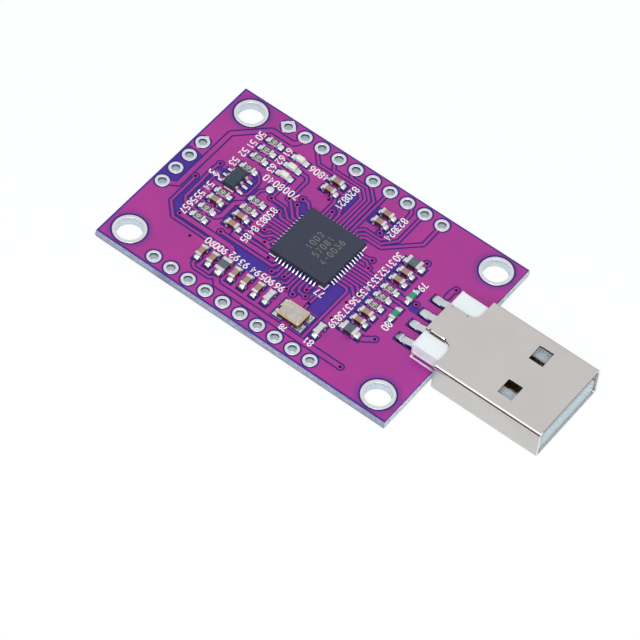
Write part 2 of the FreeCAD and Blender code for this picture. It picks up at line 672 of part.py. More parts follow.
def crystal_ring():
    """Gold sealing ring round the case's open top."""
    z0 = CHIP_SEAT_Z + CRYSTAL_CASE_HEIGHT
    outer = crystal_plate(CRYSTAL_RING_INSET, z0, CRYSTAL_RING_HEIGHT)
    inner = crystal_plate(CRYSTAL_RING_INSET + 2 * CRYSTAL_LID_INSET, z0, CRYSTAL_RING_HEIGHT)
    return outer.cut(inner)


def crystal_lid():
    """Flat metal lid on the ring."""
    z0 = CHIP_SEAT_Z + CRYSTAL_CASE_HEIGHT + CRYSTAL_RING_HEIGHT
    return crystal_plate(CRYSTAL_LID_INSET, z0, CRYSTAL_LID_HEIGHT)


def crystal_solder():
    """Lands at the crystal's four corners."""
    solids = []
    for sx in (-1, 1):
        for sy in (-1, 1):
            x = sx * (CRYSTAL_LAND_SPAN_X - CRYSTAL_LAND_LENGTH) / 2
            y = sy * (CRYSTAL_LAND_SPAN_Y - CRYSTAL_LAND_WIDTH) / 2
            pad = slab(CRYSTAL_LAND_LENGTH, CRYSTAL_LAND_WIDTH, TOP_Z, CHIP_SEAT_Z, x, y)
            solids.append(moved(pad, CRYSTAL_CENTRE_X, CRYSTAL_CENTRE_Y))
    return solids


def test_pad():
    """Round bare pad with a low mound of solder, turned as one profile."""
    rim = TEST_PAD_DIA / 2
    profile = [
        (0, 0), (rim, 0), (rim, LAND_HEIGHT),
        (TEST_PAD_SHOULDER_DIA / 2, TEST_PAD_SHOULDER), (0, TEST_PAD_TOP),
    ]
    points = [Vec(r, 0, z) for r, z in profile]
    mound = Part.Face(Part.makePolygon(points + points[:1])).revolve(Vec(0, 0, 0), Vec(0, 0, 1), 360)
    return moved(mound, TEST_PAD_X, TEST_PAD_Y, TOP_Z)


def chip_core(size):
    """Ceramic core of a two-ended part, inside its end caps."""
    core_length = size.length - 2 * CAP_SKIN
    return slab(core_length, size.width - 2 * CAP_SKIN, CHIP_SEAT_Z + CAP_SKIN,
                CHIP_SEAT_Z + size.height - CAP_SKIN)


def chip_caps(size):
    """The two metal end caps that wrap round the core."""
    core = chip_core(size)
    caps = []
    for side in (-1, 1):
        x = side * (size.length - size.cap) / 2
        block = slab(size.cap, size.width, CHIP_SEAT_Z, CHIP_SEAT_Z + size.height, x)
        caps.append(block.cut(core))
    return caps


def chip_solder(size):
    """Land and solder fillet at both ends of a two-ended part."""
    edge = size.length / 2
    wet = LAND_HEIGHT + FILLET_HEIGHT_SHARE * size.height
    joint = edge_joint(edge, edge - size.cap, size.land_span / 2, LAND_HEIGHT, wet, FILLET_RUN,
                       size.land_width)
    return [joint, moved(joint, turn=180)]


def resistor_coat(size):
    """Dark glaze on top of a resistor, between its end caps."""
    top = CHIP_SEAT_Z + size.height - CAP_SKIN
    return slab(size.length - 2 * size.cap, size.width - 2 * COAT_SIDE_MARGIN, top, top + COAT_THICKNESS)


def led_lens(size):
    """Clear block on an indicator's base, slightly tapered."""
    z0 = CHIP_SEAT_Z + size.height
    return frustum(LENS_LENGTH, size.width, z0,
                   LENS_LENGTH - 2 * LENS_TAPER, size.width - 2 * LENS_TAPER, z0 + LENS_HEIGHT)


def column(x, top_y, count, pitch=COLUMN_PITCH):
    """Places of parts in one column, from the highest Y down, lying along X."""
    return [(x, top_y - i * pitch, 0) for i in range(count)]


def resistor_places():
    """Places of all resistors as x, y and turn."""
    places = column(LEFT_COLUMN_X, LEFT_TOP_RESISTORS_Y + COLUMN_PITCH, 3)
    places += column(LEFT_COLUMN_X, LEFT_LONE_RESISTOR_Y, 1)
    places += column(LEFT_COLUMN_X, LEFT_LOW_START_Y, 1)
    places += column(LEFT_COLUMN_X, LEFT_LOW_START_Y - 2 * COLUMN_PITCH, 2)
    places += column(MIDDLE_COLUMN_X, MIDDLE_RESISTORS_Y, 2)
    places += [(RIGHT_COLUMN_X, y, 0) for y in RIGHT_RESISTORS_Y]
    return places


def capacitor_places():
    """Places of all brown capacitors as x, y and turn."""
    places = column(LEFT_COLUMN_X, LEFT_LOW_START_Y - COLUMN_PITCH, 1)
    places += column(MIDDLE_COLUMN_X, MIDDLE_RESISTORS_Y - 2 * COLUMN_PITCH, 2)
    places += [(CHIP_CENTRE_X + x, y, 0) for x in UPPER_PAIRS_FROM_CHIP for y in UPPER_PAIRS_Y]
    places += [(RIGHT_COLUMN_X, y, 0) for y in RIGHT_CAPACITORS_Y]
    places += [(x, NEAR_ROW_Y, 90) for x in NEAR_CAPACITORS_X]
    return places


def pale_capacitor_places():
    """Places of the two pale capacitors beside the crystal."""
    return [(x, NEAR_ROW_Y, 90) for x in NEAR_PALE_CAPACITORS_X]


def bead_places():
    """Places of the large chip beads."""
    return [(RIGHT_COLUMN_X, y, 0) for y in RIGHT_BEADS_Y] + [(NEAR_BEAD_X, NEAR_ROW_Y, 90)]


def green_chip_places():
    """Places of the two green chips near the plug."""
    return [(GREEN_CHIPS_X, y, 90) for y in GREEN_CHIPS_Y]


def led_places():
    """Places of the three indicator lamps, level with the upper resistors."""
    return column(MIDDLE_COLUMN_X, LEFT_TOP_RESISTORS_Y + COLUMN_PITCH, 3)


def spread(shapes, places):
    """Copies of some shapes at each place."""
    return [moved(shape, x, y, turn=turn) for x, y, turn in places for shape in shapes]


def chip_nodes():
    """All two-ended parts, one node for each kind of piece."""
    nodes = {}
    joints = []
    kinds = (
        ("resistor", RESISTOR, resistor_places()),
        ("capacitor", CAPACITOR, capacitor_places()),
        ("pale_capacitor", CAPACITOR, pale_capacitor_places()),
        ("bead", BEAD, bead_places()),
        ("green_chip", GREEN_CHIP, green_chip_places()),
        ("led", LED, led_places()),
    )
    for name, size, places in kinds:
        nodes[name + "_cores"] = spread([chip_core(size)], places)
        nodes[name + "_end_caps"] = spread(chip_caps(size), places)
        joints += spread(chip_solder(size), places)
    nodes["resistor_coats"] = spread([resistor_coat(RESISTOR)], resistor_places())
    nodes["led_lenses"] = spread([led_lens(LED)], led_places())
    nodes["chip_solder_joints"] = joints
    return nodes


def plug_nodes():
    """The plug: shell, insulator, contacts and their solder."""
    power = contacts(CONTACT_POWER_OFFSET, CONTACT_POWER_SETBACK)
    data = contacts(CONTACT_DATA_OFFSET, CONTACT_DATA_SETBACK)
    return {
        "usb_shell": [usb_shell()],
        "usb_insulator": [usb_insulator(power + data)],
        "usb_power_contacts": power,
        "usb_data_contacts": data,
        "usb_contact_solder": leg_solder(power + data),
        "usb_shell_solder": [shell_solder()],
    }


def board_nodes():
    """The drilled board and the larger parts on it."""
    memory = memory_chip()
    return {
        "circuit_board": [circuit_board()],
        "main_chip": [main_chip()],
        "main_chip_terminals": main_chip_terminals(),
        "memory_chip": [memory],
        "memory_chip_leads": memory_leads(memory),
        "memory_chip_solder": memory_solder(),
        "crystal_case": [crystal_case()],
        "crystal_ring": [crystal_ring()],
        "crystal_lid": [crystal_lid()],
        "crystal_solder": crystal_solder(),
        "test_pad": [test_pad()],
    }


def build():
    """Write one STEP file for each node."""
    os.makedirs("parts", exist_ok=True)
    nodes = {**board_nodes(), **plug_nodes(), **chip_nodes()}
    for name, solids in nodes.items():
        shape = solids[0] if len(solids) == 1 else Part.makeCompound(solids)
        shape.exportStep("parts/" + name + ".step")
        print(name, len(shape.Solids), "solids", round(shape.Volume, 3), "mm3", shape.isValid())


build()
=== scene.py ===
import bmesh
import bpy
import json
import logging
import math
import random
from dataclasses import dataclass, field, replace
from enum import IntEnum
from mathutils import Matrix, Vector
from mathutils.geometry import delaunay_2d_cdt


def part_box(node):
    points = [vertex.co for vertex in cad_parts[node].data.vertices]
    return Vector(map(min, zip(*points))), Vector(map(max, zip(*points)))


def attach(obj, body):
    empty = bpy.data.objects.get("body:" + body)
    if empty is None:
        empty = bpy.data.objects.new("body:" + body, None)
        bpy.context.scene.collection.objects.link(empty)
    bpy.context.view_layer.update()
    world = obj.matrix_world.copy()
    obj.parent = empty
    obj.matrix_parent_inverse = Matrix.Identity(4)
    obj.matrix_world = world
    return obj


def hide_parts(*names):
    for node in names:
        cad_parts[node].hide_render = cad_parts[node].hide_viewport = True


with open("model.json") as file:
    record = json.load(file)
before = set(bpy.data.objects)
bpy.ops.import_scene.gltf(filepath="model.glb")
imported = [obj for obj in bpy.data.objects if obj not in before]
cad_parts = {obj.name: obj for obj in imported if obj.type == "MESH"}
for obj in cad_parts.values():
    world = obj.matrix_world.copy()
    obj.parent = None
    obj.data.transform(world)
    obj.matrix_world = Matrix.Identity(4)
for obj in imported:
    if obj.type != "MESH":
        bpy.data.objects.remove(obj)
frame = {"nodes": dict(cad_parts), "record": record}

LOG = logging.getLogger("adapter_module")
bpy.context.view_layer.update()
MM = 0.001
Point = tuple[float, float]
Colour = tuple[float, float, float, float]
Tree = bpy.types.NodeTree
Socket = bpy.types.NodeSocket
# Kinds of node that come often.
MATH = "ShaderNodeMath"
VECTOR = "ShaderNodeVectorMath"
MIX = "ShaderNodeMix"
SPAN = "ShaderNodeMapRange"
NOISE = "ShaderNodeTexNoise"
AXES = "ShaderNodeSeparateXYZ"


def linear(hex_colour: str) -> Colour:
    """Turn an sRGB hex colour into the linear values that a shader takes.

    Args:
        hex_colour: six hex digits after a hash sign.

    Returns:
        Red, green, blue and alpha, linear.
    """
    parts = [int(hex_colour[i:i + 2], 16) / 255 for i in (1, 3, 5)]
    red, green, blue = [c / 12.92 if c <= 0.04045 else ((c + 0.055) / 1.055) ** 2.4 for c in parts]
    return red, green, blue, 1.0


def add_node(tree: Tree, kind: str, inputs: dict | None = None,
             **settings: str | bool) -> bpy.types.Node:
    """Add a node with its settings, and fill its inputs with values or links.

    Args:
        tree: the material's or geometry's node tree.
        kind: the node's type name.
        inputs: socket name or index, with a value or an output socket to link.
        settings: attributes of the node itself.

    Returns:
        The new node.
    """
    made = tree.nodes.new(kind)
    for key, value in settings.items():
        setattr(made, key, value)
    for key, value in (inputs or {}).items():
        if isinstance(value, bpy.types.NodeSocket):
            tree.links.new(value, made.inputs[key])
        else:
            made.inputs[key].default_value = value
    return made


def emptied(owner: bpy.types.Material | bpy.types.World) -> Tree:
    """Empty the node tree of a material or a world.

    Args:
        owner: the material or world.

    Returns:
        Its tree, without nodes.
    """
    owner.use_nodes = True
    owner.node_tree.nodes.clear()
    return owner.node_tree


# Finishes

@dataclass(frozen=True)
class Finish:
    """One surface finish: a Principled shader whose constants sit on its own sockets.

    `grain` is the size in millimetres of its finest visible texture and `relief` that texture's depth.
    `patch` is the stretch of the noise over which the first colour gives way to the second. The
    roughness strays by `gloss_spread` in patches that are `gloss_patch` of the colour's.
    """
    name: str
    colour: str
    second: str
    blend_size: float = 1.0
    metallic: float = 0.0
    roughness: float = 0.5
    ior: float = 1.5
    grain: float = 0.12
    relief: float = 0.002
    coat: float = 0.0
    coat_roughness: float = 0.1
    scatter: float = 0.0
    scatter_reach: float = 0.4
    patch: Point = (0.3, 0.7)
    patch_detail: float = 3.0
    grain_detail: float = 2.0
    gloss_patch: float = 0.7
    gloss_spread: float = 0.15

    def build(self) -> bpy.types.Material:
        """Make the material.

        Returns:
            The finished material.
        """
        material = bpy.data.materials.new(self.name)
        tree = emptied(material)
        place = add_node(tree, "ShaderNodeTexCoord").outputs["Object"]
        inputs = {
            "Base Color": self.tone(tree, place), "Metallic": self.metallic,
            "Roughness": self.gloss(tree, place), "Normal": self.bump(tree, place),
            "Coat Weight": self.coat, "Coat Roughness": self.coat_roughness,
            "Subsurface Weight": self.scatter, "Subsurface Scale": self.scatter_reach * MM,
            "Subsurface Radius": (1.0, 1.0, 1.0),
        }
        if not self.metallic:
            inputs["IOR"] = self.ior
        shader = add_node(tree, "ShaderNodeBsdfPrincipled", inputs)
        add_node(tree, "ShaderNodeOutputMaterial", {"Surface": shader.outputs["BSDF"]})
        return material

    def tone(self, tree: Tree, place: Socket) -> Socket:
        """The two colours, mixed in soft patches.

        Args:
            tree: the material's tree.
            place: the coordinate that its patterns read.

        Returns:
            The colour.
        """
        noise = add_node(tree, NOISE, {
            "Vector": place, "Scale": 1 / (self.blend_size * MM), "Detail": self.patch_detail,
        })
        share = add_node(tree, SPAN, {
            "Value": noise.outputs["Fac"], "From Min": self.patch[0], "From Max": self.patch[1],
        })
        return add_node(tree, MIX, {
            0: share.outputs["Result"], 6: linear(self.colour), 7: linear(self.second),
        }, data_type="RGBA").outputs[2]

    def bump(self, tree: Tree, place: Socket) -> Socket:
        """Fine relief from noise.

        Args:
            tree: the material's tree.
            place: the coordinate that its patterns read.

        Returns:
            The roughened normal.
        """
        noise = add_node(tree, NOISE, {
            "Vector": place, "Scale": 1 / (self.grain * MM), "Detail": self.grain_detail,
        })
        return add_node(tree, "ShaderNodeBump", {
            "Height": noise.outputs["Fac"], "Strength": 1.0, "Distance": self.relief * MM,
        }).outputs["Normal"]

    def gloss(self, tree: Tree, place: Socket) -> Socket:
        """Roughness that wanders a little about its value.

        Args:
            tree: the material's tree.
            place: the coordinate that its patterns read.

        Returns:
            The roughness.
        """
        noise = add_node(tree, NOISE, {
            "Vector": place, "Scale": 1 / (self.blend_size * self.gloss_patch * MM),
            "Detail": self.patch_detail,
        })
        return add_node(tree, SPAN, {
            "Value": noise.outputs["Fac"], "To Min": self.roughness * (1 - self.gloss_spread),
            "To Max": min(1.0, self.roughness * (1 + self.gloss_spread)),
        }).outputs["Result"]


@dataclass(frozen=True)
class SolderMask(Finish):
    """Screen-printed solder mask: a glossy tinted film, darker in a soft halo round the mounting lands.

    `weave` is the width of a thread of the glass cloth that shows through, or nothing over copper.
    `wave_bands` is how many bands a wave texture of scale 1 draws in one unit.
    """
    # Colour of the darker halo round the four mounting lands.
    halo_colour: str = "#7A3A98"
    halo_share: float = 0.75
    weave: float = 0.0
    wave_bands: float = 3.2
    thread_wander: float = 0.6
    grain_detail: float = 1.0
    mount_x: float = 18.165
    mount_y: float = 11.43
    land_radius: float = 2.1
    halo_width: float = 1.1

    def tone(self, tree: Tree, place: Socket) -> Socket:
        """Soft patches, and a darker halo round the four mounting lands.

        Args:
            tree: the material's tree.
            place: the coordinate that its patterns read.

        Returns:
            The colour.
        """
        folded = add_node(tree, VECTOR, {0: place}, operation="ABSOLUTE")
        flat = add_node(tree, VECTOR, {0: folded.outputs[0], 1: (1, 1, 0)}, operation="MULTIPLY")
        away = add_node(tree, VECTOR, {
            0: flat.outputs[0], 1: (self.mount_x * MM, self.mount_y * MM, 0),
        }, operation="DISTANCE")
        halo = add_node(tree, SPAN, {
            "Value": away.outputs["Value"], "From Min": self.land_radius * MM,
            "From Max": (self.land_radius + self.halo_width) * MM, "To Min": self.halo_share, "To Max": 0.0,
        }, interpolation_type="SMOOTHSTEP")
        return add_node(tree, MIX, {
            0: halo.outputs["Result"], 6: super().tone(tree, place), 7: linear(self.halo_colour),
        }, data_type="RGBA").outputs[2]

    def bump(self, tree: Tree, place: Socket) -> Socket:
        """Orange peel of the film, and the glass cloth that shows through it between the tracks.

        Args:
            tree: the material's tree.
            place: the coordinate that its patterns read.

        Returns:
            The roughened normal.
        """
        if not self.weave:
            return super().bump(tree, place)
        peel = add_node(tree, NOISE, {
            "Vector": place, "Scale": 1 / (self.grain * MM), "Detail": self.grain_detail,
        })
        threads = [add_node(tree, "ShaderNodeTexWave", {
            "Vector": place, "Scale": 1 / (self.weave * MM) / self.wave_bands,
            "Distortion": self.thread_wander, "Detail": 0.0,
        }, bands_direction=way).outputs["Fac"] for way in ("X", "Y")]
        cloth = add_node(tree, MATH, {0: threads[0], 1: threads[1]}, operation="MULTIPLY")
        height = add_node(tree, MATH, {0: peel.outputs["Fac"], 1: cloth.outputs[0]}, operation="ADD")
        return add_node(tree, "ShaderNodeBump", {
            "Height": height.outputs[0], "Strength": 1.0, "Distance": self.relief * MM,
        }).outputs["Normal"]


@dataclass(frozen=True)
class SawnLaminate(Finish):
    """Snapped and filed glass laminate: resin with grey ends of glass bundles in layers.

    The long sides get painted shade, with blotches of a painted violet reflection of the mask beside them;
    the short ones are painted pale as painted light. `streak` and `reflected_violet_size` are sizes in
    millimetres, `streaked` and `reflected_violet_span` the stretches of their noise over which they come in,
    and `endwise` the part of the normal from which a side is a short one.
    """
    streak: float = 0.5
    streak_flatness: float = 4.0
    streak_detail: float = 4.0
    streaked: Point = (0.42, 0.62)
    # Painted light: the short sides' paler colours.
    end_colour: str = "#F0F7FD"
    end_second: str = "#AEBAC6"
    endwise: float = 0.6
    # Painted violet reflection of the mask, in blotches on the long sides.
    reflected_violet: str = "#5C5592"
    reflected_violet_size: float = 9.0
    reflected_violet_span: Point = (0.48, 0.66)

    def tone(self, tree: Tree, place: Socket) -> Socket:
        """Long thin streaks along the layers, blotches of painted violet reflection on the long sides, and
        paler painted light on the short sides.

        Args:
            tree: the material's tree.
            place: the coordinate that its patterns read.

        Returns:
            The colour.
        """
        flat = add_node(tree, "ShaderNodeMapping", {"Vector": place, "Scale": (1, 1, self.streak_flatness)})
        bundles = add_node(tree, NOISE, {
            "Vector": flat.outputs["Vector"], "Scale": 1 / (self.streak * MM), "Detail": self.streak_detail,
        })
        share = add_node(tree, SPAN, {
            "Value": bundles.outputs["Fac"], "From Min": self.streaked[0], "From Max": self.streaked[1],
        }).outputs["Result"]
        violet_noise = add_node(tree, NOISE, {
            "Vector": place, "Scale": 1 / (self.reflected_violet_size * MM), "Detail": 1.0,
        })
        violet_share = add_node(tree, SPAN, {
            "Value": violet_noise.outputs["Fac"], "From Min": self.reflected_violet_span[0], "From Max": self.reflected_violet_span[1],
        })
        clean = add_node(tree, MIX, {
            0: share, 6: linear(self.colour), 7: linear(self.second),
        }, data_type="RGBA")
        long_side = add_node(tree, MIX, {
            0: violet_share.outputs["Result"], 6: clean.outputs[2], 7: linear(self.reflected_violet),
        }, data_type="RGBA")
        short_side = add_node(tree, MIX, {
            0: share, 6: linear(self.end_colour), 7: linear(self.end_second),
        }, data_type="RGBA")
        # Paint the short sides lighter and the long sides darker, by which way the side faces.
        normal = add_node(tree, "ShaderNodeNewGeometry").outputs["Normal"]
        facing = add_node(tree, AXES, {0: normal})
        endways = add_node(tree, MATH, {0: facing.outputs["X"]}, operation="ABSOLUTE")
        short = add_node(tree, MATH, {0: endways.outputs[0], 1: self.endwise}, operation="GREATER_THAN")
        return add_node(tree, MIX, {
            0: short.outputs[0], 6: long_side.outputs[2], 7: short_side.outputs[2],
        }, data_type="RGBA").outputs[2]


@dataclass(frozen=True)
class PaintedSideShade(Finish):
    """A finish whose steep sides are painted darker as painted shade, while the top keeps its own colour.

    `steep` and `level` are the upward parts of the normal at which it is all side and all top.
    """
    # Painted shade of the steep sides.
    side: str = "#3C1E1C"
    steep: float = 0.35
    level: float = 0.8

    def top(self, tree: Tree, place: Socket) -> Socket:
        """The colour where the face looks up."""
        return super().tone(tree, place)

    def tone(self, tree: Tree, place: Socket) -> Socket:
        """The top's colour where the face looks up, the side's painted shade elsewhere.

        Args:
            tree: the material's tree.
            place: the coordinate that its patterns read.

        Returns:
            The colour.
        """
        normal = add_node(tree, "ShaderNodeNewGeometry").outputs["Normal"]
        facing = add_node(tree, AXES, {0: normal})
        share = add_node(tree, SPAN, {
            "Value": facing.outputs["Z"], "From Min": self.steep, "From Max": self.level,
        })
        return add_node(tree, MIX, {
            0: share.outputs["Result"], 6: linear(self.side), 7: self.top(tree, place),
        }, data_type="RGBA").outputs[2]


@dataclass(frozen=True)
class PlatedStrip(PaintedSideShade):
    """Contact strip: gold where it rubs inside the plug, plain tin on the legs outside, with a dark painted
    shade on its steep sides.
    """
    tinned: str = "#D9DCE4"
    change_x: float = 19.0
    change_width: float = 0.2

    def top(self, tree: Tree, place: Socket) -> Socket:
        """Gold in front of the change, tin behind it.

        Args:
            tree: the material's tree.
            place: the coordinate that its patterns read.

        Returns:
            The colour.
        """
        spot = add_node(tree, AXES, {0: place})
        share = add_node(tree, SPAN, {
            "Value": spot.outputs["X"], "From Min": self.change_x * MM,
            "From Max": (self.change_x + self.change_width) * MM,
        })
        return add_node(tree, MIX, {
            0: share.outputs["Result"], 6: linear(self.tinned), 7: super().top(tree, place),
        }, data_type="RGBA").outputs[2]


@dataclass(frozen=True)
class PunchedSheet(Finish):
    """Plated sheet: the upright punched walls high on its upper face get a dark painted shade, and the
    forward faces of its mouth a white painted highlight.

    A face is of the mouth when it looks forward by more than `forward`, and an upright wall when its
    upward part lies within `upright_reach` of `upright`. Walls count as punched above `upper_z` and
    nearer to the middle than `flat_half`.
    """
    # Painted shade and dark reflection of the punched walls.
    bare: str = "#3C2B2B"
    # Painted highlight of the mouth's forward faces.
    mouth_highlight: str = "#FFFFFF"
    forward: float = 0.8
    upright: float = -0.25
    upright_reach: float = 0.65
    upper_z: float = 3.82
    flat_half: float = 5.3

    def tone(self, tree: Tree, place: Socket) -> Socket:
        """Plating on the faces, a white painted highlight on the mouth's forward faces, and painted shade on
        the upper walls of the openings.

        Args:
            tree: the material's tree.
            place: the coordinate that its patterns read.

        Returns:
            The colour.
        """
        normal = add_node(tree, "ShaderNodeNewGeometry").outputs["Normal"]
        facing = add_node(tree, AXES, {0: normal}).outputs
        spot = add_node(tree, AXES, {0: place}).outputs
        mouth = add_node(tree, MATH, {0: facing["X"], 1: self.forward}, operation="GREATER_THAN")
        plated = add_node(tree, MIX, {
            0: mouth.outputs[0], 6: super().tone(tree, place), 7: linear(self.mouth_highlight),
        }, data_type="RGBA")
        wall = add_node(tree, MATH, {
            0: facing["Z"], 1: self.upright, 2: self.upright_reach,
        }, operation="COMPARE")
        high = add_node(tree, MATH, {0: spot["Z"], 1: self.upper_z * MM}, operation="GREATER_THAN")
        off = add_node(tree, MATH, {0: spot["Y"]}, operation="ABSOLUTE")
        inner = add_node(tree, MATH, {0: off.outputs[0], 1: self.flat_half * MM}, operation="LESS_THAN")
        both = add_node(tree, MATH, {0: wall.outputs[0], 1: high.outputs[0]}, operation="MULTIPLY")
        share = add_node(tree, MATH, {0: both.outputs[0], 1: inner.outputs[0]}, operation="MULTIPLY")
        return add_node(tree, MIX, {
            0: share.outputs[0], 6: plated.outputs[2], 7: linear(self.bare),
        }, data_type="RGBA").outputs[2]


@dataclass(frozen=True)
class MouldedNylon(Finish):
    """Moulded nylon, painted bluer and a little darker along the tongue as painted shade inside the shell."""
    # Painted shade of the tongue inside the shell: bluer and a little darker.
    tongue: str = "#E0F1FF"
    tongue_x: float = 24.0
    change_width: float = 1.0

    def tone(self, tree: Tree, place: Socket) -> Socket:
        """The block's white behind the change, the tongue's painted shade in front of it.

        Args:
            tree: the material's tree.
            place: the coordinate that its patterns read.

        Returns:
            The colour.
        """
        spot = add_node(tree, AXES, {0: place})
        share = add_node(tree, SPAN, {
            "Value": spot.outputs["X"], "From Min": self.tongue_x * MM,
            "From Max": (self.tongue_x + self.change_width) * MM,
        })
        return add_node(tree, MIX, {
            0: share.outputs["Result"], 6: super().tone(tree, place), 7: linear(self.tongue),
        }, data_type="RGBA").outputs[2]


@dataclass(frozen=True)
class PlatedBarrel(Finish):
    """Tin down in a narrow barrel: a dark painted shade just below the land, brighter deeper down."""
    # Painted shade just below the land.
    collar: str = "#556070"
    collar_z: float = 0.98
    change_width: float = 0.15

    def tone(self, tree: Tree, place: Socket) -> Socket:
        """Bright tin below, the collar's painted shade above.

        Args:
            tree: the material's tree.
            place: the coordinate that its patterns read.

        Returns:
            The colour.
        """
        spot = add_node(tree, AXES, {0: place})
        share = add_node(tree, SPAN, {
            "Value": spot.outputs["Z"], "From Min": (self.collar_z - self.change_width) * MM,
            "From Max": self.collar_z * MM,
        })
        return add_node(tree, MIX, {
            0: share.outputs["Result"], 6: super().tone(tree, place), 7: linear(self.collar),
        }, data_type="RGBA").outputs[2]


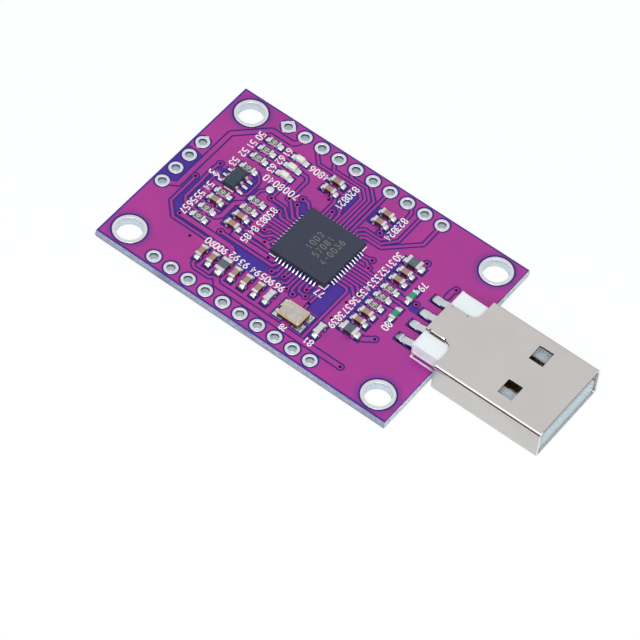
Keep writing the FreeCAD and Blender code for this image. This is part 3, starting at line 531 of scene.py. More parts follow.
# The looks of all surfaces. Two colours, the size of their patches in millimetres, then what differs from
# the finish's usual values.
LOOKS: tuple[Finish, ...] = (
    # Liquid photo-imaged mask over copper: the tinted film reads magenta over the bright metal.
    SolderMask("mask over copper", "#B02D92", "#A02A90", 7.0, roughness=0.3, ior=1.5, grain=0.5,
               relief=0.0015, halo_colour="#6F2A90"),
    # The same film over laminate: nothing bright below it, so it reads deep violet-blue.
    SolderMask("mask over laminate", "#3A1490", "#421C96", 5.0, roughness=0.34, ior=1.5,
               grain=0.5, relief=0.002, weave=0.45, halo_colour="#2A1C74"),
    # The film down in the narrow clearances, shaded by the copper on both sides.
    SolderMask("mask in clearances", "#261474", "#2C187C", 5.0, roughness=0.5, ior=1.45,
               grain=0.5, relief=0.0015, halo_colour="#1E1064"),
    # Mask that has sunk into the small holes: a dark plum dimple.
    Finish("sunk mask", "#3A0418", "#2A0210", 0.3, roughness=0.8, ior=1.2, grain=0.2,
           relief=0.002),
    # The board's glass and resin, laid bare at its snapped edge.
    SawnLaminate("glass laminate edge", "#B9BED0", "#9298AE", 1.2, roughness=0.7, ior=1.55,
                 grain=0.15, relief=0.02),
    # Hot-air-levelled tin: bright, softly rippled.
    Finish("levelled tin", "#EEF0F3", "#E0E3E8", 0.6, metallic=1.0, roughness=0.35, grain=0.35,
           relief=0.01),
    # The same tin down in the pin barrels: painted bluish and bright as painted light, with a collar of
    # painted shade under the land.
    PlatedBarrel("barrel tin", "#DCE8F4", "#CCDAE8", 0.4, metallic=1.0, roughness=0.35,
                 grain=0.2, relief=0.01),
    # And in the wide mounting barrels, painted evenly bright and bluish as painted light.
    Finish("wide barrel tin", "#E3EBF4", "#D6DFE9", 0.6, metallic=1.0, roughness=0.4, grain=0.3,
           relief=0.01),
    # Reflowed solder: brighter and smoother than the bare lands, with a grey painted shade on its steep
    # sides.
    PaintedSideShade("reflowed solder", "#F4F5F7", "#DEE0E5", 0.4, metallic=1.0, roughness=0.36,
              grain=0.25, relief=0.012, side="#888B98"),
    # The same solder drawn up the plug's legs: dull on top, with a dark painted shade along its flanks.
    PaintedSideShade("leg solder", "#E4E7F0", "#CDD1DC", 0.7, metallic=1.0, roughness=0.42, grain=0.4,
              relief=0.02, side="#3E4458", steep=0.78, level=0.99),
    # Solder that has crusted on the crystal's lands: blotched and uneven.
    Finish("crusted solder", "#FFFFFF", "#8C909A", 0.3, metallic=1.0, roughness=0.4, grain=0.25,
           relief=0.05),
    # Plated end terminations: matt tin.
    Finish("matt tin", "#EEEEEE", "#D6D6D8", 0.3, metallic=1.0, roughness=0.42, grain=0.12,
           relief=0.006),
    # Nickel-plated strip, rolled then stamped: a satin warm grey, with painted shade on the walls of its
    # openings and a painted highlight on its mouth.
    PunchedSheet("satin nickel", "#DAD5D3", "#D5D0CE", 5.0, metallic=1.0, roughness=0.17,
                 grain=0.15, relief=0.0008),
    # Gold flash over copper alloy, dulled toward brown grey as painted shade of the shell's dark inside, with
    # a darker painted shade on its sides.
    PlatedStrip("gold flash", "#A58A6A", "#9A7F60", 1.5, metallic=1.0, roughness=0.25, grain=0.2,
                relief=0.002, side="#3A3A48"),
    # Glass-filled nylon, moulded: a cool white with a soft sheen.
    MouldedNylon("moulded nylon", "#F1F8FF", "#E8F3FC", 4.0, roughness=0.45, ior=1.53, grain=0.2,
                 relief=0.001, scatter=0.6, scatter_reach=0.9),
    # Moulding compound of the chips, laser-matted: slate with a faint sheen.
    Finish("chip compound", "#283048", "#232A40", 1.6, roughness=0.55, ior=1.55, grain=0.14,
           relief=0.003),
    # The coarser compound of the small chip: darker, with pale filler grains.
    Finish("filled compound", "#1B2533", "#3C4B5C", 0.13, roughness=0.6, ior=1.5, grain=0.12,
           relief=0.006),
    # Fired alumina body.
    Finish("fired alumina", "#E6E4DE", "#D8D6D0", 0.8, roughness=0.5, ior=1.7, grain=0.12,
           relief=0.002),
    # Fired barium dielectric of the larger values; its steep sides get a dark brown painted shade.
    PaintedSideShade("tan dielectric", "#AA8D7A", "#9C806E", 0.7, roughness=0.42, ior=1.6, grain=0.12,
              relief=0.002, side="#3C1E1C"),
    # Fired low-value dielectric, nearly white; its steep sides get a grey painted shade.
    PaintedSideShade("pale dielectric", "#D3D7DA", "#C6CBD0", 0.7, roughness=0.42, ior=1.6, grain=0.12,
              relief=0.002, side="#6A7078"),
    # Pressed and fired ferrite; its steep sides get a dark painted shade.
    PaintedSideShade("fired ferrite", "#5A6673", "#4C5765", 0.8, roughness=0.5, ior=1.6, grain=0.14,
              relief=0.003, side="#1E2430"),
    # Green glaze over a ceramic body.
    Finish("green glaze", "#129C78", "#0E8A6C", 0.6, roughness=0.3, ior=1.55, grain=0.2,
           relief=0.002, coat=0.3),
    # Overglaze of the resistors.
    Finish("black overglaze", "#15181B", "#0E1113", 0.4, roughness=0.35, ior=1.55, grain=0.15,
           relief=0.002),
    # Clouded resin of the lamps.
    Finish("lamp resin", "#EDF2EA", "#DDE9DC", 0.5, roughness=0.3, ior=1.5, grain=0.2,
           relief=0.002, scatter=0.3),
    # Black alumina case of the crystal.
    Finish("black alumina", "#2A2624", "#1F1C1B", 0.6, roughness=0.5, ior=1.7, grain=0.12,
           relief=0.002),
    # Gold-plated sealing ring.
    Finish("sealing gold", "#F8DCA8", "#EEC88C", 0.6, metallic=1.0, roughness=0.3, grain=0.2,
           relief=0.003),
    # Nickel-iron lid, brushed flat.
    Finish("lid alloy", "#DAD3D0", "#C2B9B4", 0.35, metallic=1.0, roughness=0.4, grain=0.15,
           relief=0.003),
    # Screen-printed white ink.
    Finish("white ink", "#FFFFFF", "#F4F4FA", 0.4, roughness=0.6, grain=0.12, relief=0.004),
    # Laser marking on the chips: a faint warm grey.
    Finish("laser marking", "#827F79", "#747271", 0.3, roughness=0.7, grain=0.12, relief=0.002),
    # Pale numerals on the resistors.
    Finish("glaze numerals", "#E4E7E6", "#CFD3D2", 0.3, roughness=0.5, grain=0.12, relief=0.002),
)


class Finishes:
    """All materials of the module, made once and kept by name."""

    def __init__(self) -> None:
        """Make each finish."""
        self.materials = {finish.name: finish.build() for finish in LOOKS}

    def __getitem__(self, name: str) -> bpy.types.Material:
        """The material of that name."""
        return self.materials[name]


# Mesh helpers

# Corners of a solid that lie nearer than this, in metres, are one.
WELD = 2e-7
# Faces that turn less than this are one, and shading breaks where they turn by more than the crease.
FLAT_ANGLE = math.radians(2)
CREASE_ANGLE = math.radians(35)


def placed(name: str, data: bpy.types.ID) -> bpy.types.Object:
    """Make an object and put it in the scene.

    Args:
        name: the object's name.
        data: its mesh, camera or lamp.

    Returns:
        The new object, at the origin.
    """
    made = bpy.data.objects.new(name, data)
    bpy.context.scene.collection.objects.link(made)
    return made


def mesh_object(name: str, points: list, faces: list, materials: list[bpy.types.Material],
                slots: list[int] | None = None, edges: list | None = None) -> bpy.types.Object:
    """Make an object at the origin from points in millimetres.

    Args:
        name: the piece's name.
        points: corners, in millimetres.
        faces: corner numbers of each face.
        materials: the piece's material slots.
        slots: the slot of each face; all the first slot when left out.
        edges: loose edges, for strokes.

    Returns:
        The new object.
    """
    mesh = bpy.data.meshes.new(name)
    mesh.from_pydata([Vector(p) * MM for p in points], edges or [], faces)
    for material in materials:
        mesh.materials.append(material)
    if slots:
        mesh.polygons.foreach_set("material_index", slots)
    mesh.update()
    return placed(name, mesh)


def merged(node: str) -> bmesh.types.BMesh:
    """A copy of a solid's mesh with its loose triangles joined, in metres.

    Args:
        node: the solid's node.

    Returns:
        The copy, which its user frees.
    """
    copy = bmesh.new()
    copy.from_mesh(frame["nodes"][node].data)
    bmesh.ops.remove_doubles(copy, verts=copy.verts, dist=WELD)
    return copy


def lumps(node: str) -> list[list[Vector]]:
    """The corners of each separate lump of a node.

    Args:
        node: the solid's node.

    Returns:
        Each lump's corners in millimetres, the lumps in order of their place.
    """
    copy = merged(node)
    unseen = set(copy.verts)
    found = []
    while unseen:
        stack = [unseen.pop()]
        lump = []
        while stack:
            vert = stack.pop()
            lump.append(vert.co / MM)
            for edge in vert.link_edges:
                other = edge.other_vert(vert)
                if other in unseen:
                    unseen.remove(other)
                    stack.append(other)
        found.append(lump)
    copy.free()
    return sorted(found, key=lambda lump: (round(box_of(lump)[0].x, 2), round(box_of(lump)[0].y, 2)))


def box_of(points: list[Vector]) -> tuple[Vector, Vector]:
    """The lowest and highest corners of some points."""
    return Vector(map(min, zip(*points))), Vector(map(max, zip(*points)))


def islands(node: str) -> list[tuple[Vector, Vector]]:
    """The box of each separate lump of a node."""
    return [box_of(lump) for lump in lumps(node)]


def softened(node: str, material: bpy.types.Material, width: float, segments: int = 2,
             sharp: float = 30.0) -> None:
    """Stand in for a solid with a copy whose sharp edges are rounded.

    Args:
        node: the solid's node.
        material: its finish.
        width: the rounding's width in millimetres.
        segments: rows of faces across each rounding.
        sharp: angle in degrees above which an edge is rounded.
    """
    copy = merged(node)
    bmesh.ops.dissolve_limit(copy, angle_limit=FLAT_ANGLE, verts=copy.verts, edges=copy.edges)
    edges = [e for e in copy.edges if len(e.link_faces) == 2 and e.calc_face_angle(0) > math.radians(sharp)]
    bmesh.ops.bevel(copy, geom=edges, offset=width * MM, segments=segments, profile=0.5, affect="EDGES",
                    clamp_overlap=True)
    mesh = bpy.data.meshes.new(node + "_finished")
    copy.to_mesh(mesh)
    copy.free()
    mesh.materials.append(material)
    mesh.shade_smooth()
    mesh.set_sharp_from_angle(angle=CREASE_ANGLE)
    piece = placed(node + "_finished", mesh)
    level_normals(piece)
    settle(piece, frame_slot(node))
    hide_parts(node)


def level_normals(piece: bpy.types.Object) -> None:
    """Let broad flat faces shade flat and leave the turn to the roundings beside them.

    Args:
        piece: the object whose mesh is replaced.
    """
    modifier = piece.modifiers.new("level", "WEIGHTED_NORMAL")
    modifier.keep_sharp = True
    graph = bpy.context.evaluated_depsgraph_get()
    mesh = bpy.data.meshes.new_from_object(piece.evaluated_get(graph))
    piece.modifiers.remove(modifier)
    piece.data = mesh


def frame_slot(node: str) -> str:
    """The material slot that the record gives to a node."""
    return next(part["material_slot"] for part in frame["record"]["subparts"] if part["node"] == node)


def settle(piece: bpy.types.Object, slot: str) -> None:
    """Fix a finished piece to the module and log its count of faces.

    Args:
        piece: the finished object.
        slot: a material slot of the record; not used.
    """
    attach(piece, "root")
    LOG.info("%s: %d faces", piece.name, len(piece.data.polygons))


@dataclass
class NodeTree:
    """A Geometry Nodes tree with named inputs, laid over a host mesh and then made plain."""
    name: str
    tree: Tree = field(init=False)
    entry: bpy.types.Node = field(init=False)
    values: dict[str, object] = field(default_factory=dict)

    def __post_init__(self) -> None:
        """Start the tree with its geometry sockets."""
        self.tree = bpy.data.node_groups.new(self.name, "GeometryNodeTree")
        for way in ("INPUT", "OUTPUT"):
            self.tree.interface.new_socket("Geometry", in_out=way, socket_type="NodeSocketGeometry")
        self.entry = self.tree.nodes.new("NodeGroupInput")

    def value(self, name: str, amount: float | bpy.types.Material) -> Socket:
        """Add a named input with its value.

        Args:
            name: the input's name.
            amount: a length in metres or a finish.

        Returns:
            The socket that carries it.
        """
        kind = "NodeSocketFloat" if isinstance(amount, float) else "NodeSocketMaterial"
        socket = self.tree.interface.new_socket(name, in_out="INPUT", socket_type=kind)
        self.values[socket.identifier] = amount
        return self.entry.outputs[name]

    def finish(self, geometry: Socket, material: Socket | None = None) -> None:
        """End the tree with Realize Instances, and Set Material unless its parts have theirs.

        Args:
            geometry: what the tree has made.
            material: the socket of its finish.
        """
        last = add_node(self.tree, "GeometryNodeRealizeInstances", {"Geometry": geometry})
        if material:
            last = add_node(self.tree, "GeometryNodeSetMaterial", {
                "Geometry": last.outputs[0], "Material": material,
            })
        add_node(self.tree, "NodeGroupOutput", {0: last.outputs[0]})

    def bake(self, host: bpy.types.Object) -> bpy.types.Object:
        """Run the tree on a host and turn the result into a plain piece of the tree's name.

        Args:
            host: object whose mesh the tree reads; it is removed.

        Returns:
            The plain piece, at the origin.
        """
        modifier = host.modifiers.new(self.name, "NODES")
        modifier.node_group = self.tree
        for identifier, amount in self.values.items():
            modifier[identifier] = amount
        graph = bpy.context.evaluated_depsgraph_get()
        mesh = bpy.data.meshes.new_from_object(host.evaluated_get(graph))
        mesh.name = self.name
        host.modifiers.remove(modifier)
        bpy.data.objects.remove(host)
        return placed(self.name, mesh)


# Board

class Rank(IntEnum):
    """What covers a spot on the board's face; the highest rank at a spot is the one seen."""
    BARE = 0
    POUR = 1
    OPENING = 2
    GAP = 3
    TRACK = 4
    TIN = 5
    DOT = 6
    HOLE = 7


Shape = tuple[Rank, list[Point]]


def disc(x: float, y: float, radius: float, sides: int = 12) -> list[Point]:
    """A round outline, anticlockwise."""
    turns = [2 * math.pi * i / sides for i in range(sides)]
    return [(x + radius * math.cos(t), y + radius * math.sin(t)) for t in turns]


def capsule(start: Point, end: Point, radius: float, steps: int = 4) -> list[Point]:
    """A straight stretch of track with round ends.

    Args:
        start: one end of its middle line.
        end: the other end.
        radius: half of its width.
        steps: how many sides each round end has.

    Returns:
        The outline, anticlockwise.
    """
    heading = math.atan2(end[1] - start[1], end[0] - start[0])
    outline = []
    for (x, y), first in ((end, heading - math.pi / 2), (start, heading + math.pi / 2)):
        for i in range(steps + 1):
            turn = first + math.pi * i / steps
            outline.append((x + radius * math.cos(turn), y + radius * math.sin(turn)))
    return outline


def rectangle(low: Point, high: Point) -> list[Point]:
    """A rectangle, anticlockwise."""
    return [(low[0], low[1]), (high[0], low[1]), (high[0], high[1]), (low[0], high[1])]


@dataclass(frozen=True)
class Track:
    """A copper track of one width along points of the drawing; `via` marks ends that carry a small hole."""
    width: float
    points: tuple[Point, ...]
    via: str = ""

    def holes(self) -> list[Point]:
        """The ends that carry a small hole."""
        return [self.points[i] for i, end in ((0, "start"), (-1, "end")) if end in self.via]


# Tracks of the parts side. The drawing's origin is the near row's first pin hole.
LEFT_TRACKS = (
    Track(0.57, ((2.54, 25.35), (2.45, 24.1), (2.0, 23.63), (-1.1, 23.63), (-4.58, 20.05), (-4.58, 10.1),
                 (-5.9, 9.3))),
    Track(0.3, ((-3.77, 12.33), (-3.68, 11.8), (-3.68, 7.65), (-2.0, 5.93), (3.2, 5.93)), "start"),
    Track(0.3, ((-2.67, 15.68), (-2.85, 15.0), (-2.85, 13.0), (-2.78, 12.0), (-2.78, 9.2), (-1.95, 8.3),
                (-0.9, 7.75)), "start"),
    Track(0.2, ((-2.05, 14.0), (-2.05, 9.5))),
    Track(0.6, ((-1.7, 6.83), (6.0, 6.8), (6.9, 6.1), (7.2, 5.3)), "start"),
    Track(0.2, ((1.7, 17.2), (2.0, 17.15), (2.6, 16.4), (2.6, 14.2), (2.2, 13.7), (2.0, 13.65))),
    Track(0.5, ((3.1, 12.9), (2.9, 12.75), (2.27, 12.1), (2.27, 9.6), (1.9, 9.15), (1.6, 9.0))),
    Track(0.25, ((4.2, 16.43), (3.8, 15.95), (3.4, 15.5), (3.4, 14.3))),
    Track(0.25, ((5.1, 15.5), (5.15, 18.7))),
    Track(0.25, ((5.1, 15.5), (7.2, 15.42), (8.4, 14.35), (9.3, 14.35)), "start"),
    Track(0.3, ((5.5, 20.72), (6.3, 20.72), (6.78, 20.2), (6.78, 17.0))),
    Track(0.3, ((6.72, 16.83), (7.2, 16.5), (8.8, 14.85), (9.3, 14.85)), "start"),
    Track(0.3, ((8.05, 16.68), (9.0, 15.5), (9.3, 15.35)), "start"),
    Track(0.3, ((8.05, 17.8), (8.8, 17.8), (9.5, 17.1)), "start"),
    Track(0.3, ((7.02, 14.55), (7.75, 13.9), (9.3, 13.85)), "start"),
    Track(0.28, ((6.9, 13.35), (9.3, 13.35))),
    Track(0.28, ((6.9, 12.85), (9.3, 12.85))),
    Track(0.28, ((6.9, 12.35), (9.3, 12.35))),
    Track(0.28, ((7.35, 11.35), (7.9, 11.85), (9.3, 11.85)), "start"),
    Track(0.28, ((5.5, 10.5), (7.9, 10.5), (8.6, 11.3), (9.3, 11.35))),
    Track(0.28, ((8.48, 9.93), (9.0, 10.3), (9.15, 10.8), (9.4, 10.8)), "start"),
    Track(0.5, ((5.8, 9.85), (8.5, 9.85), (9.4, 9.65))),
    Track(0.25, ((5.3, 9.1), (9.9, 9.1))),
    Track(0.55, ((5.0, 8.45), (10.9, 8.45))),
    Track(0.3, ((3.65, 7.78), (11.3, 7.75), (11.65, 8.45)), "start"),
)
FAR_TRACKS = (
    Track(0.28, ((5.08, 25.35), (5.1, 24.5), (5.25, 24.2), (6.25, 23.15), (12.3, 23.15), (13.2, 22.25),
                 (13.2, 17.6))),
    Track(0.28, ((7.62, 25.35), (7.75, 24.2), (8.2, 23.6), (12.5, 23.6), (13.65, 22.5), (13.65, 17.6))),
    Track(0.28, ((10.16, 25.35), (10.3, 24.2), (10.55, 24.05), (12.7, 24.05), (14.15, 22.65), (14.15, 17.6))),
    Track(0.28, ((12.7, 25.35), (13.0, 24.5), (14.65, 22.9), (14.65, 17.6))),
    Track(0.28, ((15.24, 25.35), (15.2, 17.6))),
    Track(0.28, ((17.78, 25.35), (18.6, 25.0), (19.05, 24.4), (19.1, 23.8), (19.1, 19.5), (18.6, 18.98),
                 (16.3, 18.98), (15.68, 18.35), (15.68, 17.6))),
    Track(0.28, ((20.32, 25.35), (20.35, 20.15), (19.0, 18.5), (16.8, 18.5), (16.15, 17.9), (16.15, 17.6))),
    Track(0.35, ((22.86, 25.35), (22.9, 21.65), (19.35, 18.04), (17.1, 18.04), (16.65, 17.7))),
    Track(0.28, ((10.9, 20.4), (11.0, 20.0), (11.15, 19.8), (11.15, 17.6))),
    Track(0.28, ((11.8, 18.55), (11.65, 18.1), (11.65, 17.6)), "start"),
    Track(0.28, ((11.8, 18.55), (12.15, 18.1), (12.15, 17.6))),
    Track(0.28, ((12.15, 19.55), (12.4, 19.3), (12.7, 18.6), (12.7, 17.6)), "start"),
)
NEAR_TRACKS = (
    Track(0.25, ((12.15, 8.6), (12.15, 7.6), (11.73, 7.08)), "end"),
    Track(0.25, ((12.65, 8.6), (12.65, 6.9), (12.3, 6.45), (11.1, 6.35))),
    Track(0.25, ((13.15, 8.6), (13.15, 7.8), (13.33, 7.43)), "end"),
    Track(0.25, ((13.33, 7.43), (13.65, 7.8), (13.65, 8.6))),
    Track(0.25, ((14.15, 8.6), (14.15, 6.9), (13.52, 6.4)), "end"),
    Track(0.25, ((14.65, 8.6), (14.57, 6.22)), "end"),
    Track(0.25, ((15.15, 8.6), (15.15, 6.6), (15.62, 6.05)), "end"),
    Track(0.25, ((15.65, 8.6), (15.65, 7.3), (15.9, 6.85), (16.93, 6.78)), "end"),
    Track(0.25, ((16.15, 8.6), (16.15, 8.0), (16.48, 7.63)), "end"),
    Track(0.25, ((16.48, 7.63), (16.65, 8.0), (16.65, 8.6))),
    Track(0.25, ((18.0, 8.6), (17.88, 6.22), (18.0, 5.2))),
    Track(0.3, ((3.95, 2.6), (4.05, 2.1), (4.5, 1.72), (6.7, 1.72), (7.0, 1.95), (7.2, 2.3))),
    Track(0.62, ((7.35, 2.3), (7.7, 1.9), (8.1, 1.48), (26.05, 1.47)), "end"),
)
RIGHT_TRACKS = (
    Track(0.28, ((18.4, 15.75), (19.7, 15.92)), "end"),
    Track(0.28, ((18.4, 15.3), (19.4, 15.3), (20.03, 14.73)), "end"),
    Track(0.28, ((18.4, 14.3), (22.4, 14.3))),
    Track(0.28, ((18.4, 13.82), (22.4, 13.82))),
    Track(0.28, ((18.4, 13.32), (22.4, 13.32))),
    Track(0.28, ((18.4, 12.83), (22.4, 12.83))),
    Track(0.28, ((18.4, 12.35), (21.5, 12.35))),
    Track(0.28, ((18.4, 11.85), (20.6, 11.85), (21.3, 11.15), (21.47, 11.05)), "end"),
    Track(0.28, ((18.4, 11.35), (20.2, 11.35), (21.2, 10.4))),
    Track(0.28, ((18.4, 10.8), (19.8, 10.8), (20.2, 10.4), (20.2, 2.0))),
    Track(0.6, ((25.2, 6.1), (25.7, 6.25), (26.75, 7.1)), "end"),
    Track(0.3, ((24.87, 19.7), (24.95, 18.9)), "start"),
    Track(0.55, ((29.75, 18.8), (29.55, 18.3), (29.55, 17.2)), "start"),
    Track(0.6, ((24.8, 13.75), (26.1, 13.75))),
    Track(0.6, ((24.8, 12.3), (26.1, 12.35))),
)
TOP_TRACKS = LEFT_TRACKS + FAR_TRACKS + NEAR_TRACKS + RIGHT_TRACKS
# Small holes without a track: in the pour, and ringed in a clearance of their own.
POUR_HOLES = ((1.28, 5.0), (11.8, 22.25), (10.4, 19.73), (12.65, 5.88), (21.05, 9.15), (21.1, 6.25),
              (21.9, 15.4), (6.35, 13.8), (10.2, 8.4), (17.88, 6.22))
RINGED_HOLES = ((17.98, 19.68), (27.43, 14.12))
# Places where the pour is etched away between the tracks.
OPENINGS = (
    ((-7.42, 15.6), (-7.42, 8.7), (-7.1, 8.9), (-7.1, 9.4), (-5.4, 9.8), (-4.9, 10.05), (-5.0, 15.2),
     (-5.7, 15.45), (-6.9, 15.45)),
    ((-3.52, 12.3), (-3.52, 7.68), (-1.95, 6.12), (3.3, 6.12), (3.3, 6.5), (-1.9, 6.5), (-2.0, 6.6),
     (-2.0, 8.1), (-2.98, 9.05), (-2.98, 12.6)),
    ((-2.65, 9.0), (-2.2, 9.0), (-2.2, 14.0), (-2.65, 14.0)),
    ((-2.6, 14.7), (-1.2, 14.7), (-1.2, 15.4), (-2.6, 15.4)),
    ((1.6, 13.9), (2.1, 13.95), (2.45, 14.3), (2.45, 16.4), (2.1, 16.95), (1.6, 16.95)),
    ((2.75, 16.4), (2.75, 14.2), (2.7, 13.4), (3.05, 13.5), (3.05, 16.0)),
    ((2.6, 11.9), (2.6, 9.5), (2.85, 9.1), (3.05, 9.1), (3.05, 11.9)),
    ((3.9, 7.5), (3.9, 7.25), (6.4, 7.15), (6.9, 6.7), (7.4, 6.2), (7.6, 5.3), (10.9, 5.3), (11.0, 6.6),
     (11.3, 7.1), (11.5, 7.5)),
    ((7.75, 18.05), (7.75, 17.3), (8.2, 17.2), (8.75, 16.3), (9.2, 15.9), (9.55, 16.1), (9.5, 17.2),
     (9.05, 17.8), (8.4, 18.1)),
    ((5.5, 14.9), (7.4, 14.9), (7.4, 15.2), (5.5, 15.2)),
    ((7.0, 13.5), (7.7, 13.5), (7.7, 14.3), (7.0, 14.3)),
    ((11.4, 22.9), (11.4, 19.0), (11.9, 19.0), (12.3, 19.6), (12.75, 19.1), (13.0, 19.2), (13.0, 22.2),
     (12.3, 22.9)),
    ((15.5, 20.0), (15.95, 20.0), (15.95, 22.8), (15.5, 22.8)),
    ((18.4, 20.0), (18.9, 20.0), (18.9, 22.5), (18.4, 22.5)),
    ((17.5, 19.2), (18.5, 19.2), (18.5, 20.2), (17.5, 20.2)),
    ((11.2, 8.3), (11.1, 7.3), (11.3, 6.6), (12.3, 6.6), (13.0, 6.1), (13.9, 6.1), (15.0, 6.0), (15.2, 5.6),
     (16.1, 5.75), (16.3, 6.4), (17.3, 7.1), (17.5, 7.6), (17.3, 8.45)),
    ((18.05, 5.4), (20.0, 5.4), (20.0, 10.6), (18.05, 10.6)),
    ((20.4, 2.4), (21.5, 2.4), (21.5, 5.3), (20.4, 5.3)),
    ((19.0, 15.2), (20.0, 15.2), (20.0, 15.7), (19.0, 15.7)),
    ((22.1, 7.0), (22.5, 7.0), (22.5, 19.0), (22.1, 19.0)),
    ((27.1, 12.9), (28.1, 12.9), (28.1, 13.9), (27.1, 13.9)),
)
# Tracks of the underside, of the same widths, from the pins to the holes that come through.
UNDER_TRACKS = (
    Track(0.3, ((7.62, -0.05), (7.62, 2.4), (5.1, 5.6), (5.1, 15.5)), "end"),
    Track(0.3, ((10.16, -0.05), (10.16, 3.2), (7.35, 6.8), (7.35, 11.35)), "end"),
    Track(0.3, ((12.7, -0.05), (12.7, 3.6), (11.73, 5.0), (11.73, 7.08)), "end"),
    Track(0.3, ((15.24, -0.05), (15.24, 4.2), (13.33, 6.3), (13.33, 7.43)), "end"),
    Track(0.3, ((17.78, -0.05), (17.78, 4.6), (16.93, 5.6), (16.93, 6.78)), "end"),
    Track(0.3, ((-6.3, 11.79), (-4.6, 11.79), (-3.77, 12.33)), "end"),
    Track(0.3, ((-6.3, 14.33), (-4.2, 14.33), (-2.67, 15.68)), "end"),
    Track(0.5, ((-1.7, 6.83), (0.6, 9.2), (6.2, 9.2), (8.48, 9.93)), "start end"),
    Track(0.3, ((3.65, 7.78), (3.65, 13.2), (6.72, 16.83)), "start end"),
    Track(0.3, ((8.05, 16.68), (8.05, 13.0), (11.0, 10.0), (19.2, 10.0), (21.47, 11.05)), "start end"),
    Track(0.3, ((8.05, 17.8), (10.2, 19.0), (17.98, 19.68)), "start end"),
    Track(0.5, ((26.05, 1.47), (29.4, 3.4), (29.75, 18.8)), "start end"),
    Track(0.5, ((24.87, 19.7), (26.2, 17.4), (27.43, 14.12)), "start end"),
)


